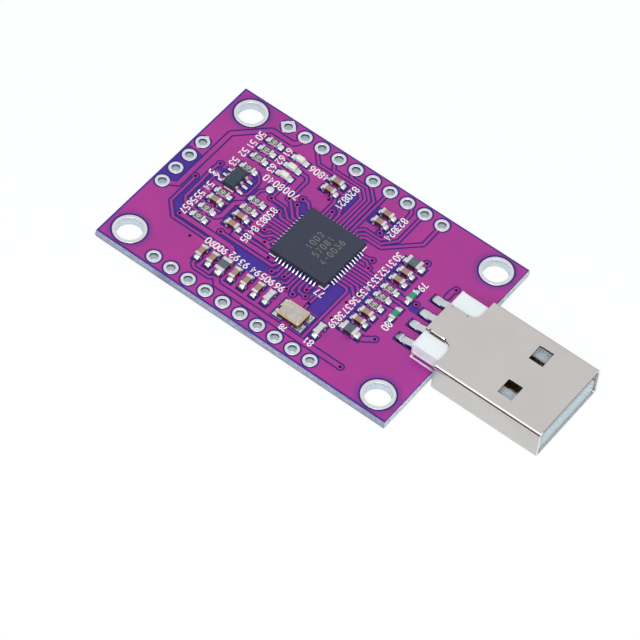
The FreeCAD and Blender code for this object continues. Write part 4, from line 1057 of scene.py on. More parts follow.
@dataclass
class CircuitBoard:
    """The board: mask over raised copper on both faces, etched clearances, and a snapped edge all round.

    `spike` is the point of bare copper that stands beside a marked pin, measured from the pin.
    `torn_rows` are rows of points down the snapped edge: height, reach beyond the cut, and tear.
    """
    finishes: Finishes
    origin: Point = (-13.5, -12.65)
    thickness: float = 1.2
    copper_height: float = 0.03
    pour_inset: float = 0.24
    plug_side_inset: float = 0.1
    clearance: float = 0.21
    pad_clearance: float = 0.19
    leg_clearance: float = 0.08
    via_ring: float = 0.36
    via_dot: float = 0.2
    via_sides: int = 10
    dot_depth: float = 0.05
    pin_pitch: float = 2.54
    pin_count: int = 10
    pin_row_y: float = 12.7
    pin_row_x: float = -13.5
    column_x: float = -19.8
    column_y: float = -3.40
    column_count: int = 4
    pin_hole: float = 0.525
    pin_land: float = 0.89
    pin_sides: int = 28
    mount_hole: float = 1.625
    mount_land: float = 2.075
    mount_x: float = 18.165
    mount_y: float = 11.43
    mount_sides: int = 56
    wall_sink: float = 0.06
    plate_height: float = 0.045
    barrel_wall: float = 0.04
    plate_rounding: float = 0.03
    plate_crease: float = 50.0
    plate_sides: int = 56
    spike: tuple[Point, ...] = ((0.8, -0.4), (1.12, 0.0), (0.8, 0.4))
    edge_step: float = 0.35
    ridge: float = 0.13
    torn_rows: tuple[tuple[float, float, float], ...] = (
        (1.2, 0.0, 0.0), (1.08, 0.02, 0.02), (0.84, 0.08, 0.05), (0.6, 0.13, 0.07), (0.36, 0.08, 0.05),
        (0.12, 0.02, 0.02), (0.03, 0.0, 0.0))
    outline_weld: float = 1e-5
    corner_weld: float = 1e-8
    level_gap: float = 1e-6
    seed: int = 7

    def __post_init__(self) -> None:
        """Read the board's size from its solid."""
        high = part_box("circuit_board")[1]
        self.half = (high[0] / MM - self.ridge, high[1] / MM - self.ridge)

    def pins(self) -> list[Point]:
        """Centres of all pin holes.

        Returns:
            The near row, the far row and the short column.
        """
        rows = [(self.pin_row_x + self.pin_pitch * i, side * self.pin_row_y)
                for side in (-1, 1) for i in range(self.pin_count)]
        column = [(self.column_x, self.column_y + self.pin_pitch * i) for i in range(self.column_count)]
        return rows + column

    def mounts(self) -> list[Point]:
        """Centres of the four mounting holes."""
        return [(x * self.mount_x, y * self.mount_y) for x in (-1, 1) for y in (-1, 1)]

    def place(self, point: Point) -> Point:
        """Bring a point of the drawing into the module's frame."""
        return point[0] + self.origin[0], point[1] + self.origin[1]

    def perimeter(self) -> list[Point]:
        """The board's outline.

        Returns:
            A point every short step, anticlockwise.
        """
        corners = rectangle((-self.half[0], -self.half[1]), self.half)
        outline = []
        for start, end in zip(corners, corners[1:] + corners[:1]):
            count = round(math.dist(start, end) / self.edge_step)
            outline += [tuple(Vector(start).lerp(Vector(end), i / count)) for i in range(count)]
        return outline

    def track_shapes(self, tracks: tuple[Track, ...]) -> list[Shape]:
        """Copper, clearance and small holes of some tracks.

        Args:
            tracks: tracks of one face.

        Returns:
            Their shapes.
        """
        shapes = []
        for track in tracks:
            points = [self.place(p) for p in track.points]
            for start, end in zip(points, points[1:]):
                shapes.append((Rank.TRACK, capsule(start, end, track.width / 2)))
                shapes.append((Rank.GAP, capsule(start, end, track.width / 2 + self.clearance)))
            for hole in track.holes():
                shapes += self.via_shapes(hole, True)
        return shapes

    def via_shapes(self, hole: Point, ringed: bool) -> list[Shape]:
        """A small hole.

        Args:
            hole: its centre in the drawing.
            ringed: whether it has a copper ring and a clearance, as it has outside the pour.

        Returns:
            Its shapes.
        """
        centre = self.place(hole)
        shapes = [(Rank.DOT, disc(*centre, self.via_dot, self.via_sides))]
        if ringed:
            shapes.append((Rank.TRACK, disc(*centre, self.via_ring)))
            shapes.append((Rank.GAP, disc(*centre, self.via_ring + self.clearance)))
        return shapes

    def hole_shapes(self) -> list[Shape]:
        """The drilled holes.

        Returns:
            Each hole and the clearance round its land.
        """
        shapes = []
        for centres, hole, land, sides in (
                (self.pins(), self.pin_hole, self.pin_land, self.pin_sides),
                (self.mounts(), self.mount_hole, self.mount_land, self.mount_sides)):
            for x, y in centres:
                shapes.append((Rank.HOLE, disc(x, y, hole + self.wall_sink, sides)))
                shapes.append((Rank.GAP, disc(x, y, land + self.clearance, sides)))
        return shapes

    def pad_shapes(self) -> list[Shape]:
        """Clearances round every soldered pad, read from the solids.

        Returns:
            One shape a pad.
        """
        shapes = []
        for node in ("chip_solder_joints", "main_chip_terminals", "memory_chip_solder", "crystal_solder",
                     "usb_contact_solder", "test_pad"):
            grow = self.leg_clearance if node == "usb_contact_solder" else self.pad_clearance
            for low, high in islands(node):
                shapes.append((Rank.GAP, rectangle((low.x - grow, low.y - grow),
                                                   (high.x + grow, high.y + grow))))
        return shapes

    def spikes(self) -> list[Shape]:
        """Points of bare copper that mark the first pins of the far row and of the column.

        Returns:
            One shape a point.
        """
        marked = ((self.pin_row_x, self.pin_row_y, (0, 1, 2, 3)),
                  (self.column_x, self.column_y + (self.column_count - 1) * self.pin_pitch, (1, 3)))
        shapes = []
        for x, y, quarters in marked:
            for quarter in quarters:
                turn = Matrix.Rotation(quarter * math.pi / 2, 2)
                tip = [turn @ Vector(p) for p in self.spike]
                shapes.append((Rank.TIN, [(x + p.x, y + p.y) for p in tip]))
        return shapes

    def face(self, tracks: tuple[Track, ...], openings: tuple, top: bool) -> tuple[list, list, list]:
        """One face of the board with its holes' walls down to the middle.

        Args:
            tracks: the face's tracks.
            openings: places without copper.
            top: whether it is the parts side.

        Returns:
            Points, faces and the rank of each face.
        """
        inset = (self.half[0] - self.pour_inset, self.half[1] - self.pour_inset)
        plug_side = self.half[0] - self.plug_side_inset
        shapes = [(Rank.BARE, self.perimeter()),
                  (Rank.POUR, rectangle((-inset[0], -inset[1]), (plug_side, inset[1])))]
        shapes += [(Rank.OPENING, [self.place(p) for p in outline]) for outline in openings]
        shapes += self.hole_shapes() + self.track_shapes(tracks)
        if top:
            shapes += self.pad_shapes() + self.spikes()
            shapes += [s for hole in POUR_HOLES for s in self.via_shapes(hole, False)]
            shapes += [s for hole in RINGED_HOLES for s in self.via_shapes(hole, True)]
        flat, cells, ranks = self.divide(shapes)
        return self.raise_cells(flat, cells, ranks, top)

    def divide(self, shapes: list[Shape]) -> tuple[list, list, list]:
        """Cut the face into triangles, each with the highest rank that covers it.

        Args:
            shapes: the face's shapes, the board's outline first.

        Returns:
            Points, triangles and their ranks.
        """
        points = []
        outlines = []
        for _, outline in shapes:
            outlines.append(list(range(len(points), len(points) + len(outline))))
            points += [Vector(p) for p in outline]
        flat, _, cells, _, _, covers = delaunay_2d_cdt(points, [], outlines, 1, self.outline_weld)
        kept = [(cell, max(shapes[k][0] for k in cover)) for cell, cover in zip(cells, covers) if 0 in cover]
        return flat, [cell for cell, _ in kept], [rank for _, rank in kept]

    def height(self, rank: Rank, top: bool) -> float:
        """Height of a rank's surface above the underside.

        Args:
            rank: what covers the spot.
            top: whether it is on the parts side.

        Returns:
            The height in millimetres.
        """
        raised = rank in (Rank.POUR, Rank.TRACK, Rank.TIN)
        if top:
            rise = self.copper_height if raised else (-self.dot_depth if rank == Rank.DOT else 0.0)
            return self.thickness + rise
        return 0.0 if raised else (self.dot_depth if rank == Rank.DOT else self.copper_height)

    def raise_cells(self, flat: list, cells: list, ranks: list, top: bool) -> tuple[list, list, list]:
        """Give each cell its height, and join different heights by walls.

        Args:
            flat: points of the flat face.
            cells: its triangles.
            ranks: their ranks.
            top: whether it is the parts side.

        Returns:
            Points, faces and the rank of each face.
        """
        points = []
        faces = []
        kinds = []
        known = {}

        def corner(index: int, z: float) -> int:
            """Find a corner at a height, or add it.

            Args:
                index: number of the flat point.
                z: the height.

            Returns:
                The corner's number.
            """
            key = (index, round(z, 4))
            if key not in known:
                known[key] = len(points)
                points.append((flat[index].x, flat[index].y, z))
            return known[key]

        def put(loop: list[int], rank: Rank) -> None:
            """Keep a face, turned over on the underside."""
            faces.append(loop if top else loop[::-1])
            kinds.append(rank)

        owner = {(a, b): rank for cell, rank in zip(cells, ranks) for a, b in zip(cell, cell[1:] + cell[:1])}
        middle = self.thickness / 2
        rim = self.thickness if top else 0.0
        for cell, rank in zip(cells, ranks):
            if rank == Rank.HOLE:
                continue
            z = self.height(rank, top)
            put([corner(i, z) for i in cell], rank)
            for a, b in zip(cell, cell[1:] + cell[:1]):
                other = owner.get((b, a))
                if other is None:
                    low = rim
                elif other == Rank.HOLE:
                    low = middle
                else:
                    low = self.height(other, top)
                outward = (z - low) if top else (low - z)
                if outward > self.level_gap:
                    put([corner(b, z), corner(a, z), corner(a, low), corner(b, low)],
                        Rank.GAP if other != Rank.HOLE else Rank.BARE)
        return points, faces, kinds

    def band(self) -> tuple[list, list]:
        """The snapped edge: rows of points round the board, pushed out and torn a little.

        Returns:
            Points and faces.
        """
        rng = random.Random(self.seed)
        outline = self.perimeter()
        points = []
        for z, reach, tear in self.torn_rows:
            for x, y in outline:
                out = reach - rng.random() * tear
                way_x = (abs(x) > self.half[0] - self.level_gap) * math.copysign(1, x)
                way_y = (abs(y) > self.half[1] - self.level_gap) * math.copysign(1, y)
                points.append((x + way_x * out, y + way_y * out, z))
        count = len(outline)
        faces = []
        for row in range(len(self.torn_rows) - 1):
            top, low = row * count, (row + 1) * count
            for i in range(count):
                j = (i + 1) % count
                faces.append([top + j, top + i, low + i, low + j])
        return points, faces

    def build(self) -> None:
        """Build the board as one piece, dressed by rank."""
        names = {
            Rank.BARE: "mask over laminate", Rank.POUR: "mask over copper",
            Rank.OPENING: "mask over laminate", Rank.GAP: "mask in clearances",
            Rank.TRACK: "mask over copper", Rank.TIN: "levelled tin",
            Rank.DOT: "sunk mask", Rank.HOLE: "glass laminate edge",
        }
        slots = list(dict.fromkeys(names.values()))
        points, faces, kinds = [], [], []
        band_points, band_faces = self.band()
        parts = [self.face(TOP_TRACKS, OPENINGS, True),
                 self.face(UNDER_TRACKS, (), False),
                 (band_points, band_faces, [Rank.HOLE] * len(band_faces))]
        for part_points, part_faces, part_kinds in parts:
            start = len(points)
            points += part_points
            faces += [[start + i for i in loop] for loop in part_faces]
            kinds += part_kinds
        piece = mesh_object("circuit_board_finished", points, faces, [self.finishes[n] for n in slots],
                            [slots.index(names[k]) for k in kinds])
        joined = bmesh.new()
        joined.from_mesh(piece.data)
        bmesh.ops.remove_doubles(joined, verts=joined.verts, dist=self.corner_weld)
        joined.to_mesh(piece.data)
        joined.free()
        settle(piece, "solder_mask")
        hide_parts("circuit_board")

    def platings(self) -> None:
        """The tinned barrels and lands of the pin holes and of the mounting holes."""
        self.plate("pin_hole_platings", self.pins(), self.pin_hole, self.pin_land, "barrel tin")
        self.plate("mounting_hole_platings", self.mounts(), self.mount_hole, self.mount_land,
                   "wide barrel tin")

    def plate(self, name: str, centres: list[Point], hole: float, land: float, barrel: str) -> None:
        """Sweep a barrel and two lands round a circle, and set them at each centre.

        Args:
            name: the piece's name.
            centres: centres of the holes.
            hole: radius of the finished hole.
            land: outer radius of the lands.
            barrel: the barrel's finish.
        """
        nodes = NodeTree(name)
        radius = nodes.value("Hole radius", hole * MM)
        reach = nodes.value("Land radius", land * MM)
        board = nodes.value("Board thickness", self.thickness * MM)
        plate = nodes.value("Plate height", self.plate_height * MM)
        wall = nodes.value("Barrel wall", (self.wall_sink + self.barrel_wall) * MM)
        dress = nodes.value("Finish", self.finishes["levelled tin"])
        inside = nodes.value("Barrel finish", self.finishes[barrel])
        tree = nodes.tree

        def ring(width: Socket, tall: Socket, rise: float | Socket, finish: Socket) -> Socket:
            """A ring of rounded rectangular section round the hole.

            Args:
                width: its section's width.
                tall: its section's height.
                rise: height of its section's middle.
                finish: its material.

            Returns:
                The ring.
            """
            half = add_node(tree, MATH, {0: width, 1: 0.5}, operation="MULTIPLY")
            middle = add_node(tree, MATH, {0: radius, 1: half.outputs[0]}, operation="ADD")
            path = add_node(tree, "GeometryNodeCurvePrimitiveCircle", {
                "Resolution": self.plate_sides, "Radius": middle.outputs[0],
            })
            section = add_node(tree, "GeometryNodeCurvePrimitiveQuadrilateral", {
                "Width": width, "Height": tall,
            })
            soft = add_node(tree, "GeometryNodeFilletCurve", {
                "Curve": section.outputs[0], "Radius": self.plate_rounding * MM, "Limit Radius": True,
                "Count": 2,
            }, mode="POLY")
            swept = add_node(tree, "GeometryNodeCurveToMesh", {
                "Curve": path.outputs[0], "Profile Curve": soft.outputs[0],
            })
            offset = add_node(tree, "ShaderNodeCombineXYZ", {"Z": rise})
            raised = add_node(tree, "GeometryNodeTransform", {
                "Geometry": swept.outputs[0], "Translation": offset.outputs[0],
            })
            return add_node(tree, "GeometryNodeSetMaterial", {
                "Geometry": raised.outputs[0], "Material": finish,
            }).outputs[0]

        width = add_node(tree, MATH, {0: reach, 1: radius}, operation="SUBTRACT").outputs[0]
        twice = add_node(tree, MATH, {0: plate, 1: 2.0}, operation="MULTIPLY").outputs[0]
        middle = add_node(tree, MATH, {0: board, 1: 0.5}, operation="MULTIPLY").outputs[0]
        rings = [ring(wall, board, middle, inside), ring(width, twice, board, dress),
                 ring(width, twice, 0.0, dress)]
        joined = add_node(tree, "GeometryNodeJoinGeometry")
        for made in rings:
            tree.links.new(made, joined.inputs[0])
        points = add_node(tree, "GeometryNodeMeshToPoints", {"Mesh": nodes.entry.outputs[0]})
        repeated = add_node(tree, "GeometryNodeInstanceOnPoints", {
            "Points": points.outputs[0], "Instance": joined.outputs[0],
        })
        nodes.finish(repeated.outputs[0])
        piece = nodes.bake(mesh_object(name + "_host", [(x, y, 0.0) for x, y in centres], [], []))
        piece.data.shade_smooth()
        piece.data.set_sharp_from_angle(angle=math.radians(self.plate_crease))
        settle(piece, "tinned_copper")


# Printed numbers

# Strokes of each numeral on a grid one wide and two tall.
NUMERALS = {
    "0": (((0, 0.4), (0, 1.6), (0.3, 2), (0.7, 2), (1, 1.6), (1, 0.4), (0.7, 0), (0.3, 0), (0, 0.4)),),
    "1": (((0.15, 1.6), (0.55, 2), (0.55, 0)),),
    "2": (((0, 1.6), (0.3, 2), (0.7, 2), (1, 1.6), (1, 1.2), (0, 0), (1, 0)),),
    "3": (((0, 2), (1, 2), (0.45, 1.15), (0.75, 1.1), (1, 0.8), (1, 0.4), (0.7, 0), (0.3, 0), (0, 0.35)),),
    "4": (((0.8, 0), (0.8, 2), (0, 0.6), (1.05, 0.6)),),
    "5": (((1, 2), (0.1, 2), (0, 1.1), (0.7, 1.2), (1, 0.85), (1, 0.35), (0.7, 0), (0, 0)),),
    "6": (((0.9, 2), (0.3, 1.5), (0, 0.9), (0, 0.35), (0.3, 0), (0.7, 0), (1, 0.35), (1, 0.75), (0.7, 1.1),
           (0.1, 1.0)),),
    "7": (((0, 2), (1, 2), (0.35, 0)),),
    "8": (((0.3, 1.05), (0, 1.4), (0, 1.7), (0.3, 2), (0.7, 2), (1, 1.7), (1, 1.4), (0.7, 1.05), (0.3, 1.05),
           (0, 0.7), (0, 0.3), (0.3, 0), (0.7, 0), (1, 0.3), (1, 0.7), (0.7, 1.05)),),
    "9": (((0.1, 0), (0.7, 0.5), (1, 1.1), (1, 1.65), (0.7, 2), (0.3, 2), (0, 1.65), (0, 1.25), (0.3, 0.9),
           (0.95, 1.05)),),
    "-": (((0.1, 1), (0.9, 1)),),
}


class Turn(IntEnum):
    """Which way a number reads, as degrees of turn."""
    UPRIGHT = 0
    UPWARD = 90
    OVER = 180
    DOWNWARD = 270


@dataclass(frozen=True)
class Number:
    """A printed number: its numerals, its middle in the drawing, its height and the pace of its numerals."""
    text: str
    x: float
    y: float
    turn: Turn
    tall: float = 0.86
    pace: float = 0.66


def column(x: float, first: int, *ys: float) -> tuple[Number, ...]:
    """Two-figure numbers one under the other, counting up from `first`."""
    return tuple(Number(str(first + i), x, y, Turn.DOWNWARD) for i, y in enumerate(ys))


# Numbers beside the parts, from the plug's far end to the plug, in the board's drawing.
NUMBERS = (
    *column(-1.65, 50, 22.1, 20.4, 18.85, 17.0, 12.2, 10.5, 9.07, 7.7),
    *column(2.4, 61, 22.2, 20.75, 19.1),
    Number("7008040", 5.0, 17.55, Turn.OVER, 0.9, 0.75), Number("4806", 7.15, 22.08, Turn.OVER, 0.9, 0.7),
    Number("820", 11.9, 22.3, Turn.DOWNWARD, 0.86, 0.68),
    Number("821", 11.9, 20.3, Turn.DOWNWARD, 0.86, 0.68),
    Number("823", 19.1, 22.3, Turn.DOWNWARD, 0.86, 0.68),
    Number("824", 19.1, 20.4, Turn.DOWNWARD, 0.86, 0.68),
    Number("830", 6.45, 13.6, Turn.DOWNWARD, 0.86, 0.68), Number("83", 6.45, 12.0, Turn.DOWNWARD),
    Number("84", 6.45, 10.4, Turn.DOWNWARD), Number("85", 6.45, 8.95, Turn.DOWNWARD),
    Number("90", 3.7, 5.85, Turn.OVER), Number("900", 5.2, 5.85, Turn.OVER, 0.86, 0.62),
    Number("92", 7.15, 6.0, Turn.OVER), Number("93", 8.65, 5.85, Turn.OVER),
    Number("94", 10.35, 5.85, Turn.OVER), Number("905", 12.1, 5.85, Turn.OVER, 0.86, 0.64),
    Number("96", 13.85, 5.85, Turn.OVER),
    *column(21.7, 30, 18.3, 16.85, 15.5, 14.1, 12.7, 11.3, 9.9, 8.5, 7.1, 5.8),
    Number("5", -2.6, 14.1, Turn.DOWNWARD), Number("6", -1.95, 14.1, Turn.DOWNWARD),
    Number("77", 17.9, 8.2, Turn.OVER), Number("78", 17.7, 1.6, Turn.OVER, 0.7, 0.5),
    Number("79", 26.5, 16.65, Turn.DOWNWARD), Number("80", 26.65, 9.5, Turn.DOWNWARD),
    Number("81", 21.1, 1.9, Turn.OVER),
)
# Corner marks of the main chip and the bar of the memory chip.
BARS = (
    ((9.9, 8.98), (10.85, 8.98)), ((17.2, 8.98), (18.02, 8.98), (18.02, 9.85)), ((18.0, 16.2), (18.0, 17.1)),
    ((-0.2, 13.3), (1.1, 13.3)),
)


@dataclass
class Print:
    """Numbers and lines drawn as flat strokes of ink."""
    name: str
    finish: bpy.types.Material
    slot: str
    stroke: float
    height: float
    level: float
    points: list = field(default_factory=list)
    edges: list = field(default_factory=list)

    def line(self, path: list[Point]) -> None:
        """Add one open stroke.

        Args:
            path: its points, in the module's frame.
        """
        start = len(self.points)
        self.points += [(x, y, self.level) for x, y in path]
        self.edges += [(start + i, start + i + 1) for i in range(len(path) - 1)]

    def number(self, item: Number, origin: Point) -> None:
        """Add a number.

        Args:
            item: the number.
            origin: the point that its middle is measured from, in the module's frame.
        """
        scale = item.tall / 2
        length = len(item.text) * item.pace - (item.pace - scale)
        turn = Matrix.Rotation(math.radians(item.turn), 2)
        for i, numeral in enumerate(item.text):
            left = i * item.pace - length / 2
            for stroke in NUMERALS[numeral]:
                path = [turn @ Vector((left + x * scale, (y - 1) * scale)) for x, y in stroke]
                self.line([(origin[0] + item.x + p.x, origin[1] + item.y + p.y) for p in path])

    def build(self) -> None:
        """Turn the strokes into ink with a Geometry Nodes tree."""
        nodes = NodeTree(self.name)
        width = nodes.value("Stroke width", self.stroke * MM)
        tall = nodes.value("Ink height", self.height * MM)
        dress = nodes.value("Finish", self.finish)
        curve = add_node(nodes.tree, "GeometryNodeMeshToCurve", {"Mesh": nodes.entry.outputs[0]})
        section = add_node(nodes.tree, "GeometryNodeCurvePrimitiveQuadrilateral", {
            "Width": width, "Height": tall,
        })
        swept = add_node(nodes.tree, "GeometryNodeCurveToMesh", {
            "Curve": curve.outputs[0], "Profile Curve": section.outputs[0], "Fill Caps": True,
        })
        nodes.finish(swept.outputs[0], dress)
        settle(nodes.bake(mesh_object(self.name + "_host", self.points, [], [], edges=self.edges)), self.slot)


@dataclass
class BoardPrint:
    """All white print on the board: plain numbers beside the parts, the chips' marks, the plug's outline.

    The ink sinks by `sink` into the mask. On both sides of the middle line the plug's outline starts at
    `outline_inner`, goes out to `outline_side`, then runs along the plug to `edge_gap` before the board's
    cut. It is two strokes, `overlap` of a stroke apart.
    """
    finishes: Finishes
    board: CircuitBoard
    stroke: float = 0.165
    height: float = 0.03
    sink: float = 0.01
    overlap: float = 0.55
    outline_back: float = 17.87
    outline_side: float = 4.76
    outline_inner: float = 4.4
    edge_gap: float = 0.02

    def build(self) -> None:
        """Print the board."""
        level = self.board.thickness + self.board.copper_height + self.height / 2 - self.sink
        ink = Print("board_print", self.finishes["white ink"], "solder_mask", self.stroke, self.height, level)
        for item in NUMBERS:
            ink.number(item, self.board.origin)
        for path in BARS:
            ink.line([self.board.place(p) for p in path])
        for way in (-1, 1):
            for shift in (0.0, self.overlap * self.stroke):
                back, side = self.outline_back - shift, way * (self.outline_side + shift)
                ink.line([(back, way * self.outline_inner), (back, side),
                          (self.board.half[0] - self.edge_gap, side)])
        ink.build()


# Parts on the board

@dataclass
class Solder:
    """Reflowed solder, lofted as humped mounds that run outward from the metal they hold.

    An uneven mound follows `wave_count` waves of its own, whose rates in radians a millimetre lie within
    `wave_rates`; `sway` is how much of it moves the mound sideways. A `flatness` below one gives it a
    back flatter than a half circle.
    """
    finishes: Finishes
    finish: str = "reflowed solder"
    land: float = 0.04
    columns: int = 10
    flatness: float = 0.4
    wave_count: int = 3
    wave_rates: Point = (3.0, 8.0)
    sway: float = 0.3
    crease: float = 60.0
    seed: int = 11
    points: list = field(default_factory=list)
    faces: list = field(default_factory=list)

    def mound(self, start: Vector, way: Vector, half: float, rows: list[tuple[float, float, float]],
              ripple: float = 0.0) -> None:
        """Add one mound, closed down to the board.

        Args:
            start: middle of the inner end, on the board.
            way: the direction outward, one long.
            half: half of the land's width.
            rows: for each section its distance, its crown above the land and its share of the width.
            ripple: how uneven the mound is, as a share of its height.
        """
        rng = random.Random(self.seed + len(self.points))
        waves = [(rng.uniform(*self.wave_rates), rng.uniform(0, 2 * math.pi)) for _ in range(self.wave_count)]
        across = Vector((-way.y, way.x, 0))
        first = len(self.points)
        for along, crown, share in rows:
            wave = 1 + sum(math.sin(rate * along + shift) for rate, shift in waves) / self.wave_count * ripple
            middle = start + way * along + across * (wave - 1) * half * self.sway
            width = half * share * min(1.0, wave)
            self.points.append(middle + across * width)
            for j in range(self.columns + 1):
                turn = math.pi * j / self.columns
                rise = self.land + crown * wave * math.sin(turn) ** self.flatness
                self.points.append(middle + across * width * math.cos(turn) + Vector((0, 0, rise)))
            self.points.append(middle - across * width)
        # A section is its back's points and a foot on each side.
        ring = self.columns + 3
        last = first + (len(rows) - 1) * ring
        self.faces += [[first + i * ring + j, first + i * ring + (j + 1) % ring,
                        first + (i + 1) * ring + (j + 1) % ring, first + (i + 1) * ring + j]
                       for i in range(len(rows) - 1) for j in range(ring)]
        self.faces.append([first + j for j in range(ring)])
        self.faces.append([last + j for j in range(ring)])

    def build(self, node: str) -> None:
        """Make one piece of all mounds so far.

        Args:
            node: the node that the piece replaces.
        """
        piece = mesh_object(node + "_finished", self.points, self.faces, [self.finishes[self.finish]])
        shape = bmesh.new()
        shape.from_mesh(piece.data)
        bmesh.ops.recalc_face_normals(shape, faces=shape.faces)
        shape.to_mesh(piece.data)
        shape.free()
        piece.data.shade_smooth()
        piece.data.set_sharp_from_angle(angle=math.radians(self.crease))
        settle(piece, frame_slot(node))
        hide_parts(node)


@dataclass
class ToeSolder(Solder):
    """Solder beyond the end of each soldered part: a rounded toe on its land.

    `bulge` and `brow` say how full the toe is, `share` how much of the land's width it covers, `toe` and
    `taper` how that narrows outward. `slump` and `toe_spread` are how far height and toe may stray.
    """
    bulge: float = 0.45
    brow: float = 2.2
    share: float = 0.97
    toe: float = 0.74
    taper: int = 3
    slump: float = 0.18
    toe_spread: float = 0.15
    ripple: float = 0.12
    film_gap: float = 0.05
    tuck: float = 0.02
    thin: float = 0.01
    steps: int = 8

    def dress(self, node: str, bodies: tuple[str, ...]) -> None:
        """Pour every joint of a node.

        Args:
            node: the solder's node.
            bodies: nodes of what it holds; each joint runs away from the nearest of them.
        """
        centres = [(low + high) / 2 for body in bodies for low, high in islands(body)]
        rng = random.Random(self.seed)
        for lump in lumps(node):
            low, high = box_of(lump)
            middle = (low + high) / 2
            away = middle - min(centres, key=lambda c: (c - middle).xy.length)
            crest = box_of([p for p in lump if p.z > high.z - self.thin])
            extent = crest[1] - crest[0]
            axis = 0 if extent.x < extent.y else 1
            if min(extent.x, extent.y) > self.thin:
                self.slab(low, high)
                continue
            way = Vector((0, 0, 0))
            way[axis] = math.copysign(1.0, away[axis])
            inner = crest[0][axis] - low[axis] if way[axis] > 0 else high[axis] - crest[0][axis]
            self.toe_mound(low, high, axis, way, inner, rng)
        self.build(node)

    def slab(self, low: Vector, high: Vector) -> None:
        """A flat land, hidden below a chip."""
        start = Vector((low.x, (low.y + high.y) / 2, low.z))
        self.mound(start, Vector((1, 0, 0)), (high.y - low.y) / 2, [(0, 0, 1), (high.x - low.x, 0, 1)])

    def toe_mound(self, low: Vector, high: Vector, axis: int, way: Vector, inner: float,
                  rng: random.Random) -> None:
        """One joint: a flat film below the part, then the toe.

        Args:
            low: lowest corner of the joint's solid.
            high: its highest corner.
            axis: 0 when it runs along X, 1 along Y.
            way: the direction outward.
            inner: length of the film below the part.
            rng: source of the differences between joints.
        """
        start = (low + high) / 2
        start[axis] = low[axis] if way[axis] > 0 else high[axis]
        start.z = low.z
        length = high[axis] - low[axis]
        half = (high[1 - axis] - low[1 - axis]) / 2
        tall = (high.z - low.z - self.land) * (1 + rng.uniform(-self.slump, self.slump))
        toe = self.toe * rng.uniform(1 - self.toe_spread, 1 + self.toe_spread)
        rows = [(0.0, 0.0, 1.0), (inner - self.film_gap, 0.0, 1.0)]
        for k in range(self.steps + 1):
            t = k / self.steps
            crown = tall * (1 - t ** self.brow) ** self.bulge
            rows.append((inner - self.tuck + (length - inner + self.tuck) * t, crown,
                         self.share * (1 - (1 - toe) * t ** self.taper)))
        self.mound(start, way, half, rows, self.ripple)


@dataclass
class LegSolder(Solder):
    """Solder round the feet of the plug's four contacts.

    `stations` gives the mound along the land: distance from its toe, crown above the land, and share
    of the land's width. The mound on the near outer leg is less even than the others.
    """
    stations: tuple[tuple[float, float, float], ...] = (
        (0.0, 0.01, 0.3), (0.1, 0.09, 0.52), (0.25, 0.2, 0.76), (0.45, 0.28, 0.92), (0.8, 0.31, 0.98),
        (1.2, 0.30, 0.98), (1.45, 0.24, 0.96), (1.75, 0.12, 0.8), (2.1, 0.0, 0.55), (3.1, 0.0, 0.5))
    rows: int = 40
    ripple: float = 0.08
    near_ripple: float = 0.3

    def row(self, along: float) -> tuple[float, float, float]:
        """One section, between two stations.

        Args:
            along: its distance from the toe.

        Returns:
            Distance, crown and share of the width.
        """
        for low, high in zip(self.stations, self.stations[1:]):
            if along <= high[0]:
                t = (along - low[0]) / (high[0] - low[0])
                return along, low[1] + (high[1] - low[1]) * t, low[2] + (high[2] - low[2]) * t
        return along, *self.stations[-1][1:]

    def dress(self, node: str) -> None:
        """Pour the four mounds, the near one first.

        Args:
            node: the solder's node.
        """
        for low, high in sorted(islands(node), key=lambda box: box[0].y):
            start = Vector((low.x, (low.y + high.y) / 2, low.z))
            rows = [self.row((high.x - low.x) * i / self.rows) for i in range(self.rows + 1)]
            self.mound(start, Vector((1, 0, 0)), (high.y - low.y) / 2, rows,
                       self.ripple if self.points else self.near_ripple)
        self.build(node)


@dataclass
class Chips:
    """The main chip and the memory chip, with their terminals and marking.

    `marks` are rows of plain numbers on the main chip, measured from its middle; the first row's place
    stays bare.
    """
    finishes: Finishes
    bevel: float = 0.05
    lead_bevel: float = 0.03
    mark_stroke: float = 0.13
    mark_height: float = 0.012
    marks: tuple[Number, ...] = (
        Number("1002", -0.75, 0.3, Turn.UPWARD, 0.8, 0.74),
        Number("57081", 0.55, 0.2, Turn.UPWARD, 0.8, 0.74),
        Number("4-0036", 1.85, 0.2, Turn.UPWARD, 0.8, 0.74))

    def build(self) -> None:
        """Round and dress both chips and their metal."""
        softened("main_chip", self.finishes["chip compound"], self.bevel)
        softened("memory_chip", self.finishes["filled compound"], self.bevel)
        flat = ToeSolder(self.finishes, bulge=1.6, share=0.78, toe=0.9, slump=0.08)
        flat.dress("main_chip_terminals", ("main_chip",))
        softened("memory_chip_leads", self.finishes["matt tin"], self.lead_bevel)
        ToeSolder(self.finishes).dress("memory_chip_solder", ("memory_chip",))
        self.marking()

    def marking(self) -> None:
        """Three faint rows of plain numbers."""
        low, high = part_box("main_chip")
        middle = ((low[0] + high[0]) / 2 / MM, (low[1] + high[1]) / 2 / MM)
        mark = Print("chip_marking", self.finishes["laser marking"], "chip_epoxy", self.mark_stroke,
                     self.mark_height, high[2] / MM)
        for item in self.marks:
            mark.number(item, middle)
        mark.build()


@dataclass
class Crystal:
    """The crystal: ceramic case, gold sealing ring and metal lid on four soldered corners.

    `layers` names each node, its finish and the width of its rounding.
    """
    finishes: Finishes
    layers: tuple[tuple[str, str, float], ...] = (
        ("crystal_case", "black alumina", 0.04), ("crystal_ring", "sealing gold", 0.02),
        ("crystal_lid", "lid alloy", 0.03), ("crystal_solder", "crusted solder", 0.04))

    def build(self) -> None:
        """Round and dress each layer."""
        for node, finish, width in self.layers:
            softened(node, self.finishes[finish], width)


